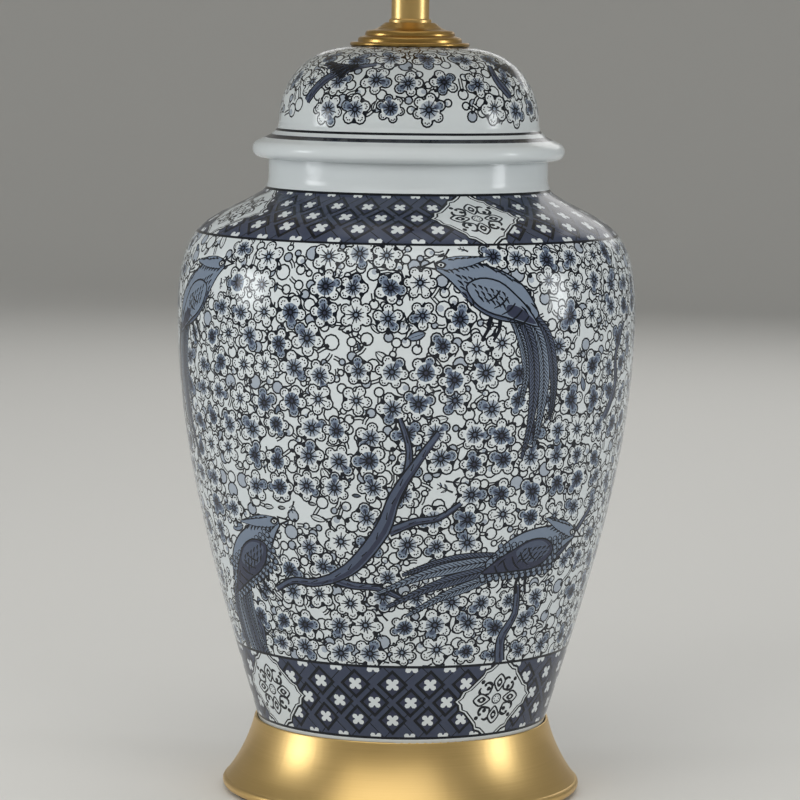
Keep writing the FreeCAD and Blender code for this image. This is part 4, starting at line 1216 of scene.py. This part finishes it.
for row in range(crown_rows):
    middle = crown_low + crown_gap * (row + 0.55)
    count = round(math.tau * lid_outline.at(middle)[0] / crown_pitch)
    for i in range(count):
        x = SHEET_WIDTH * ((i + 0.5 * (row % 2) + rng.uniform(-0.12, 0.12)) / count - 0.5)
        if row == 0 and rng.random() < left_out_by_lip:
            continue
        crown.append((x, middle + rng.uniform(-1.5, 1.5), rng.uniform(8.2, 9.8)))
rng.shuffle(crown)
taken += [(x, y, radius * blossom_core) for x, y, radius in crown]
crown_sizes = (2.6, 3.4, 4.2)
crown_share = 0.86
crown_tries = 1400
for x, y, radius in gaps(lid, crown_low + 5, crown_high - 2, crown_sizes, crown_share, crown_tries):
    lid.draw(bud_stem(rng, radius) + bud(rng, radius), math.degrees(x / SHEET_RADIUS), y,
             rng.uniform(0, math.tau))
draw_blossoms(lid, crown)

# Four twigs on the crown, each with a spray of five long leaves at its tip.
long_twig = [(0, 0), (8, 12), (20, 20), (34, 24)]
short_twig = [(0, 0), (-6, 10), (-4, 20)]
twig_widths = (4.0, 5.0, 3.0, 1.6)
long_leaf = feather([(0, 0), (7, 3), (14, 2)], 3.4, "wash")
for degrees, height, twig in ((-52, 380, long_twig), (52, 384, short_twig),
                              (128, 380, long_twig), (-128, 384, short_twig)):
    root = lid_outline.length_at(height, crown_line)
    tip = twig[-1][1]
    lid.draw(branch(twig, twig_widths, rng), degrees, root)
    for k in range(5):
        lid.draw(long_leaf, degrees + 4 * k, root + tip - 3 * k, -0.6 + 0.35 * k)
lid.band(lip_band, lip_band + 4.0, "deep")
lid.band(lip_band + 0.6, lip_band + 3.4, "navy")
lid.band(crown_line - 0.8, crown_line + 0.8, "navy")
painted_lid = lid.mesh("painted_lid")
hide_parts("porcelain_lid")
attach(painted_lid, "lamp")

# ---------------------------------------------------------------- bulb
# Pear-shaped bulb, blown from glass and frosted inside, so that it looks white. It is cemented
# into its cap and screws into the shell of the lampholder.
finish, tree, shader = new_material("frosted_glass")
shader.inputs["Base Color"].default_value = opaque((0.86, 0.86, 0.83))
shader.inputs["Transmission Weight"].default_value = 0.35
ripple = placed(tree, pitted, Scale=200.0, Low=0.28, High=0.38)
tree.links.new(ripple.outputs["Roughness"], shader.inputs["Roughness"])
finished(finish, "bulb_glass")

# ---------------------------------------------------------------- shade
# Off-white linen laminated on a stiff lining, rolled into a cone round two wire rings and lapped
# at the back. Folded linen tape hides the rings at both edges.


shade_mean_radius = 0.18
slub_length, slub_width = 60.0, 1400.0


def weave_group():
    """Over-and-under threads round a cone: slubs thicken a few of them."""
    group, given, result = node_group("linen_weave", {"Threads": 1500.0},
                                      {"Tone": "Float", "Height": "Float"})
    place = group.nodes.new("ShaderNodeTexCoord").outputs["Object"]
    split = group.nodes.new("ShaderNodeSeparateXYZ")
    group.links.new(place, split.inputs[0])
    angle = math_node(group, "ARCTAN2", split.outputs["Y"], split.outputs["X"])
    across = math_node(group, "MULTIPLY", angle, shade_mean_radius)
    warp_phase = math_node(group, "MULTIPLY", across, given.outputs["Threads"])
    weft_phase = math_node(group, "MULTIPLY", split.outputs["Z"], given.outputs["Threads"])
    warp = math_node(group, "SINE", math_node(group, "MULTIPLY", warp_phase, 3.2))
    weft = math_node(group, "SINE", math_node(group, "MULTIPLY", weft_phase, 3.2))
    cross = math_node(group, "MULTIPLY", warp, weft)
    thick_threads = []
    for around, upward in ((slub_length, slub_width), (slub_width, slub_length)):
        join = group.nodes.new("ShaderNodeCombineXYZ")
        group.links.new(math_node(group, "MULTIPLY", across, around), join.inputs["X"])
        group.links.new(math_node(group, "MULTIPLY", split.outputs["Z"], upward),
                        join.inputs["Y"])
        thick_threads.append(noise_node(group, join.outputs[0], 1.0, 2.0))
    slubs = math_node(group, "MULTIPLY", math_node(group, "ADD", *thick_threads), 0.5)
    height = math_node(group, "ADD", math_node(group, "MULTIPLY", cross, 0.35),
                       math_node(group, "MULTIPLY", slubs, 1.6))
    group.links.new(slubs, result.inputs["Tone"])
    group.links.new(height, result.inputs["Height"])
    return group


weave = weave_group()


def linen(name, dark, light, threads, depth):
    finish, tree, shader = new_material(name)
    cloth = placed(tree, weave, Threads=threads)
    two_tone(tree, shader, cloth.outputs["Tone"], dark, light)
    shader.inputs["Roughness"].default_value = 0.85
    shader.inputs["Sheen Weight"].default_value = 0.25
    bumped(tree, shader, cloth.outputs["Height"], depth)
    return finish


shade_linen = linen("shade_linen", (0.56, 0.53, 0.46), (0.78, 0.755, 0.69), 1500.0, 0.00018)
shade_tape = linen("shade_tape", (0.52, 0.49, 0.42), (0.74, 0.71, 0.64), 1900.0, 0.00015)

shade_low, shade_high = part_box("shade_cover")
shade_bottom, shade_top = shade_low.z, shade_high.z
shade_bottom_radius = 0.2030
shade_top_radius = 0.1600
cover_thickness = 0.0012
lap_width = 0.012
lap_thickness = 0.0006
cloth_draw_in = 0.0004
shade_sides = 192
shade_rows = 24


def shade_radius(height):
    share = (height - shade_bottom) / (shade_top - shade_bottom)
    return shade_bottom_radius + (shade_top_radius - shade_bottom_radius) * share


def turned_ring(name, outline, sides, material, swell=None):
    """Closed ring from an outline of (radius, height), with an optional change of radius."""
    points, faces = [], []
    count = len(outline)
    for i in range(sides):
        angle = math.tau * i / sides + math.pi / 2
        for radius, height in outline:
            extra = swell(angle, radius, height) if swell else 0.0
            points.append(((radius + extra) * math.cos(angle), (radius + extra) * math.sin(angle),
                           height))
        for k in range(count):
            after, up = (i + 1) % sides, (k + 1) % count
            faces.append((i * count + k, after * count + k, after * count + up, i * count + up))
    mesh = bpy.data.meshes.new(name)
    mesh.from_pydata(points, [], faces)
    mesh.polygons.foreach_set("use_smooth", [True] * len(faces))
    piece = link_new(name, mesh, [material])
    mesh.set_sharp_from_angle(angle=math.radians(40))
    return piece


def cover_swell(angle, radius, height):
    """The lap at the back stands out; between the rings the cloth draws in by a hair."""
    share = (height - shade_bottom) / (shade_top - shade_bottom)
    lap = abs((angle - math.pi / 2 + math.pi) % math.tau - math.pi) * radius
    outer = radius > shade_radius(height) - cover_thickness / 2
    stand = lap_thickness if outer and lap < lap_width / 2 else 0.0
    return stand - cloth_draw_in * math.sin(math.pi * share) * (1 + 0.4 * math.sin(5 * angle))


heights = [shade_bottom + (shade_top - shade_bottom) * i / shade_rows for i in range(shade_rows + 1)]
cover_outline = ([(shade_radius(z), z) for z in heights]
                 + [(shade_radius(z) - cover_thickness, z) for z in reversed(heights)])
linen_cover = turned_ring("linen_cover", cover_outline, shade_sides, shade_linen, cover_swell)
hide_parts("shade_cover")
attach(linen_cover, "shade")

tape_thickness = 0.0005
glue_gap = 0.0001
tape_ripple = 0.00008


def folded_tape(name, node, edge, direction):
    """Tape glued outside and folded over the cover's edge."""
    low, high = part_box(node)
    far = low.z if direction > 0 else high.z
    fold = high.z if direction > 0 else low.z
    rim = edge - direction * 0.0004
    outline = [(shade_radius(far) + glue_gap, far),
               (shade_radius(far) + tape_thickness * 0.7, far + direction * 0.0002),
               (shade_radius(far) + tape_thickness, far + direction * 0.0009),
               (shade_radius(rim) + tape_thickness, rim),
               (shade_radius(edge) + tape_thickness * 0.6, fold - direction * glue_gap),
               (shade_radius(edge) - cover_thickness * 0.5, fold),
               (shade_radius(edge) - cover_thickness, fold - direction * glue_gap),
               (shade_radius(edge) - cover_thickness, edge + direction * glue_gap),
               (shade_radius(edge) + glue_gap, edge + direction * glue_gap)]
    if direction < 0:
        outline.reverse()
    tape = turned_ring(name, outline, shade_sides, shade_tape,
                       lambda angle, radius, height: tape_ripple * math.sin(37 * angle)
                       if radius > shade_radius(height) else 0.0)
    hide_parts(node)
    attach(tape, "shade")


folded_tape("top_tape", "shade_top_trim", shade_top, 1)
folded_tape("bottom_tape", "shade_bottom_trim", shade_bottom, -1)

# ---------------------------------------------------------------- felt under the base
# A disc of needle felt, glued under the board so that the lamp neither scratches a table nor
# slides on it. Its edge is softly worn.
felt = pitted_material("dark_felt", (0.010, 0.012, 0.016), (0.035, 0.040, 0.050), 1300.0, 0.9, 1.0,
                       0.0006)
_, felt_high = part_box("felt_pad")
felt_radius = felt_high.x
felt_thickness = felt_high.z
felt_sides = 160
felt_rings = 10
worn_width = 0.002
worn_depth = 0.0002


def felt_edge(angle, radius, height):
    """The worn rim draws in by a hair, a little more here and there."""
    if radius < felt_radius - worn_width:
        return 0.0
    return -worn_depth - 0.00015 * math.sin(23 * angle) - 0.0001 * math.sin(61 * angle + 1)


edge_round = 0.0005
under = [(felt_radius * i / felt_rings, 0.0) for i in range(felt_rings)]
over = [(radius, felt_thickness) for radius, _ in reversed(under)]
felt_outline = under + [(felt_radius - edge_round, 0.0), (felt_radius, edge_round),
                        (felt_radius, felt_thickness - edge_round),
                        (felt_radius - edge_round, felt_thickness)] + over
felt_disc = turned_ring("felt_disc", felt_outline, felt_sides, felt, felt_edge)
weld(felt_disc.data)
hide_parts("felt_pad")
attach(felt_disc, "lamp")
